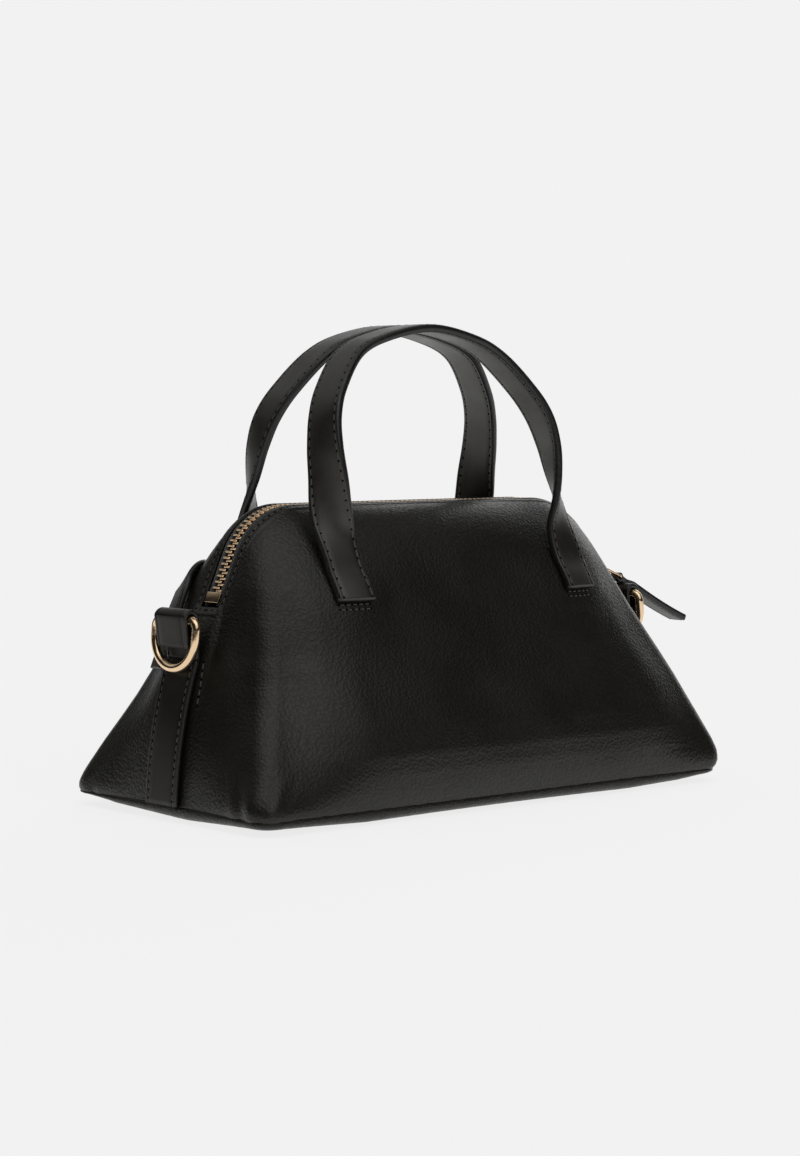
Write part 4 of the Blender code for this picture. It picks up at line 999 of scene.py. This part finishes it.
WING, STOP_NEAR, STOP_ROOT = CHAIN + 1.45, 2.55, 3.1
low_boxes = [(-WING, WING, -0.1, 0.75), (-WING, WING, -1.95, -1.3), (-STOP_ROOT, STOP_ROOT, -1.6, 0.4)]
zip_stop("stop_metal_low", LEFT, 2.0, 4.6, low_boxes, "zip_bottom_stop")
for word, flip in (("front", -1), ("rear", 1)):
    wing, root = (sorted((flip * STOP_NEAR, flip * far)) for far in (WING, STOP_ROOT))
    boxes = [(*wing, -0.1, 0.5), (*wing, -1.9, -1.3), (*root, -1.6, 0.3)]
    zip_stop(f"stop_metal_{word}", RIGHT, 1.0, 2.0, boxes, f"zip_top_stop_{word}")


# Slider, bail and puller

(SLIDER_AT,), (UP_SLOPE,), (SLIDER_OUT,) = RIGHT.zip_line([9.0])
PLATE, PLATE_TOP, PLATE_BOTTOM = 0.9, 1.4, -3.4
NOSE, TAIL, NOSE_R, TAIL_R, TAPER = 5.0, -5.0, 2.8, 0.9, 0.92
WALL_BACK, WALL_FRONT = -4.6, 2.2
BAIL_REACH, BAIL_WIRE, BAIL_WIDTH, BAIL_CORNER = 15.0, 1.4, 8.6, 1.8
EYE_R = BAIL_WIRE / 2 + 0.35
EYE_Z = PLATE_TOP + 0.3 + EYE_R
EYE_WALL, EYE_WIDE = 0.9, 1.8


def on_slider(x, y, z):
    return SLIDER_AT - UP_SLOPE * x + Y * y + SLIDER_OUT * z


# Two plates joined by walls and a post, with the eye that holds the bail on top
def block(outline, low, high, bevel, segments=3):
    bag.prism(lambda x, y: on_slider(x, y, low), outline, SLIDER_OUT * (high - low), bevel, segments)


bag, half = Bag(), CHAIN + 0.35 + PLATE
nose = arc(NOSE - NOSE_R, 0, NOSE_R, -1, 1, 15, half)
tail = arc(TAIL + TAIL_R, half * TAPER - TAIL_R, TAIL_R, 1, 2, 5)
for low in (PLATE_TOP - PLATE, PLATE_BOTTOM):
    block([*nose, *tail, *(tail[::-1] * [1, -1])], low, low + PLATE, 0.32, 4)
wall = np.array([
    (WALL_BACK, half - PLATE), (WALL_FRONT, half - PLATE), (WALL_FRONT, half - 0.12),
    (WALL_BACK, half * TAPER - 0.05),
])
for side in (-1, 1):
    for low, high in ((-0.1, PLATE_TOP - 0.3), (PLATE_BOTTOM + 0.3, -1.3)):
        block(wall * [1, side], low, high, 0.15)
block([(4.1, 1.2), (4.1, -1.2), (1.9, -0.8), (1.9, 0.8)], PLATE_BOTTOM + 0.4, PLATE_BOTTOM + 4.4, 0.2)
foot = -EYE_R - 0.5
feet = [(-2.5, foot * 0.6), (-2.8, foot), (2.8, foot), (2.5, foot * 0.6)]
eye = [*arc(0, 0, EYE_R + EYE_WALL, 0, 2, 19), *feet]
hole = arc(0, 0, EYE_R, 0, 4, 24, endpoint=False)
bag.prism(lambda x, z: on_slider(x, -EYE_WIDE / 2, EYE_Z + z), eye, Y * EYE_WIDE, 0.25, hole=hole)
bag.make_metal("slider_metal", "slider", "slider_body")

EYE_AT = SLIDER_AT + SLIDER_OUT * EYE_Z
PULLER_WAY = np.array([0.92845, 0, -0.37145])
PULLER_UP = np.array([0.37145, 0, 0.92845])

x, y, r = BAIL_REACH - BAIL_CORNER, (BAIL_WIDTH - BAIL_WIRE) / 2 - BAIL_CORNER, BAIL_CORNER
flat = join([arc(*at, r, k, k + 1, 12) for k, at in enumerate(((x, y), (r, y), (r, -y), (x, -y)))])
path = EYE_AT + PULLER_WAY * flat[:, :1] + Y * flat[:, 1:]
gold_loop("bail_metal", path, BAIL_WIRE, 18, PULLER_UP, "bail", "slider_bail")

PULLER_AT = EYE_AT + PULLER_WAY * BAIL_REACH
PULLER_LONG, PULLER_SAG, HEAD_W, HEAD_WALL = 47.0, 4.0, 2.5, 1.1
NECK, SHOULDER_X, FIRST_ROW = 4.2, 9.0, 8.6


# Two layers of leather sewn together, narrowed where they turn round the bail
def at(x, y, z):
    sag = PULLER_SAG * sin(max(x, 0) / PULLER_LONG * QUARTER)
    return PULLER_AT + PULLER_WAY * x + Y * y + PULLER_UP * (z - sag)


half_width, half_thick, _, inset = PULLER[:4]
section = strap_section(*PULLER)
rings = []
for x in join([linspace(NECK, SHOULDER_X, 14)[:-1], linspace(SHOULDER_X, PULLER_LONG, 60)]):
    narrow = (HEAD_W + (half_width - HEAD_W) * smooth((x - 4.4) / 4.0)) / half_width
    thin = 0.8 + 0.2 * smooth((x - NECK) / 3)
    rings.append([at(x, a * narrow, b * thin) for a, b, _ in section])
bag = Bag()
add_strap(bag, rings, section)
end, edge = PULLER_LONG - inset, half_width - inset
for face in (1, -1):
    for start, stop, count in (
        ((SHOULDER_X, -edge), (end, -edge), 40), ((SHOULDER_X, edge), (end, edge), 40),
        ((end, -edge), (end, edge), 9), ((FIRST_ROW, -edge * 0.8), (FIRST_ROW, edge * 0.8), 7),
    ):
        line = [at(x, y, face * (half_thick - THREAD_SINK)) for x, y in linspace(start, stop, count)]
        stitch_row(bag, line, [PULLER_UP * face] * count, 2.8, STRAP_FILL, 0.22, SEWN)
lip = half_thick * 0.8
loop = [(5.0, lip), *arc(0, 0, EYE_R + HEAD_WALL, 0.4, 3.6, 37), (5.0, -lip)]
hole = arc(0, 0, EYE_R, 0, 4, 28, endpoint=False)
bag.prism(lambda x, z: at(x, -HEAD_W, z), loop, Y * 2 * HEAD_W, 0.25, hole=hole)
bag.make("puller_leather", STRAP, "puller", ["leather_puller"])


# Inside

LINING_T, GAP = 0.8, 0.3
LINING_DEPTH = PANEL + GAP + TAPE_T + GAP
POCKET_DEPTH = LINING_DEPTH + LINING_T + GAP
POCKET_SIDE, POCKET_FOOT, POCKET_TOP = 0.64, 0.2, 0.6
BOARD_LOW, BOARD_HIGH, BOARD_INSET, BOARD_ROUND = 2.1, 4.1, 8.0, 0.4
# How far up the lining starts, and where it ends at the side seams and elsewhere
LINING_FOOT, SEAM_TOP, FULL_TOP = 0.02, 0.7, 0.95


def lining_rows(shares, ups, depth):
    """Rows of points inside the front, at shares of the lining's height, over both ends."""
    top = SEAM_TOP + (FULL_TOP - SEAM_TOP) * smooth(shares / 0.25)
    halves = []
    for end in (LEFT, RIGHT):
        heights = [LINING_FOOT + (top - LINING_FOOT) * share for share in ups]
        rows = np.array([sway(end.inside(shares, up, depth + LINING_T / 2), end.side, shares) for up in heights])
        rows[:, shares == 0, 1] = 0
        halves.append(rows)
    return join([halves[0], halves[1][:, -2::-1]], axis=1)


def make_cloth(name, rows, faces, node):
    obj = make(name, rows, faces, LINING, "bag", [node], closed=False)
    wall = obj.modifiers.new("wall", "SOLIDIFY")
    wall.thickness = LINING_T * MM
    wall.offset = 0
    add_weave(obj, (1, 1, 0), Z)


front = lining_rows(linspace(0, 1, 48), linspace(0, 1, 26), LINING_DEPTH)
ring = join([front, front[:, -2:0:-1] * [1, -1, 1]], axis=1)
foot = ring[:1] * [0.97, 0.97, 0] + Z * (BOARD_HIGH + GAP + LINING_T / 2)
floor = [lifted(foot * [s, s, 1], 1.0) for s in (0.05, 0.4, 0.75, 1)]
rows = join([*floor, ring])
faces = grid_faces(*rows.shape[:2], close_columns=True)
make_cloth("lining_cloth", rows, faces + [tuple(range(rows.shape[1]))], "lining")


shares, ups = linspace(POCKET_SIDE, 1, 30), linspace(POCKET_FOOT, POCKET_TOP, 16)
rows = lining_rows(shares, ups, POCKET_DEPTH) * [1, -1, 1]
make_cloth("pocket_cloth", rows, grid_faces(*rows.shape[:2]), "inner_pocket")

r = BOARD_ROUND
section = ((r, BOARD_LOW), (0, BOARD_LOW + r), (0, BOARD_HIGH - r), (r, BOARD_HIGH))
rings = [lifted(outline_ring(BOARD_INSET + inset, z), 1.0) for inset, z in section]
make("board_card", rings, capped(4, len(rings[0])), BOARD, "bag", ["base_board"])


# Camera, floor and light

DISTANCE, HEIGHT, LENS = 1.2, 0.1691, 84.63
AZIMUTH, YAW, TILT = radians(40.97), radians(0.13), radians(3.54)
BACKDROP, FLOOR_SHADE, FLOOR_GLOW, ROOM = 0.888, 0.16, 0.804, 0.02
FLOOR_REACH, FLOOR_Z = 60000.0, -0.2
SOFTBOX_INNER, SOFTBOX_OUTER = 12, 28
ROLL_INNER, ROLL_OUTER, ROLL_ELEVATION = 18, 40, 5
SOFTBOXES = (
    # azimuth and elevation in degrees, strength
    (120, 10, 1.5), (120, 40, 0.85), (0, 40, 0.34), (-24, 36, 0.6), (14, 40, 0.28),
    (-30, 66, 0.88), (30, 66, 0.45), (-90, 66, 0.62), (-170, 45, 0.5),
)

data = bpy.data.cameras.new("camera")
data.lens, data.sensor_width = LENS, 36.0
camera = bpy.data.objects.new("camera", data)
camera.location = (-sin(AZIMUTH) * DISTANCE, -cos(AZIMUTH) * DISTANCE, HEIGHT)
camera.rotation_euler = (QUARTER - TILT, 0, -(AZIMUTH - YAW))
SCENE.collection.objects.link(camera)
SCENE.camera = camera

n = material("paper")
glow = n.add("Emission", (1, 1, 1, 1), FLOOR_GLOW)
grey = (FLOOR_SHADE,) * 3
diffuse = n.add("BsdfDiffuse", n.mix(n.noise(n.where(), 3.0), grey, scaled(grey, 1.01)))
both = n.add("AddShader", glow.outputs[0], diffuse.outputs[0])
n.set(n.tree.nodes["Material Output"].inputs["Surface"], both.outputs[0])
corners = [(x * FLOOR_REACH, y * FLOOR_REACH, FLOOR_Z) for x, y in ((-1, -1), (1, -1), (1, 1), (-1, 1))]
make("floor", corners, [(0, 1, 2, 3)], (None, [n.owner]), closed=False)

# A dark room with soft boxes for light. The camera sees the plain backdrop, and so does glass; gloss sees it
# where it hangs, behind the bag, and the dark room elsewhere.
n = Nodes(bpy.data.worlds.new("room"))
way = n.where("Generated")


def patch(azimuth, elevation, inner, outer, strength):
    """A round patch of light; azimuth is from the front panel's side towards the right end."""
    a, e = radians(azimuth), radians(elevation)
    towards = (sin(a) * cos(e), -cos(a) * cos(e), sin(e))
    dot = n.add("VectorMath", way, towards, operation="DOT_PRODUCT").outputs["Value"]
    return n.ramp(dot, cos(radians(outer)), cos(radians(inner)), 0.0, strength)


total = ROOM
for azimuth, elevation, strength in SOFTBOXES:
    total = n.math("ADD", patch(azimuth, elevation, SOFTBOX_INNER, SOFTBOX_OUTER, strength), total)
path = n.add("LightPath").outputs
behind = patch(180 - degrees(AZIMUTH), ROLL_ELEVATION, ROLL_INNER, ROLL_OUTER, BACKDROP)
shine = n.times(path["Is Glossy Ray"], behind)
mix = n.add("Mix", data_type="FLOAT")
n.set(mix.inputs[0], n.math("MAXIMUM", path["Is Camera Ray"], path["Is Transmission Ray"]))
n.set(mix.inputs[2], n.math("MAXIMUM", total, shine))
n.set(mix.inputs[3], BACKDROP)
shade = n.tree.nodes["Background"].inputs
n.set(shade["Color"], (1, 1, 1, 1))
n.set(shade["Strength"], mix.outputs[0])
SCENE.world = n.owner

SCENE.view_settings.view_transform = "Standard"
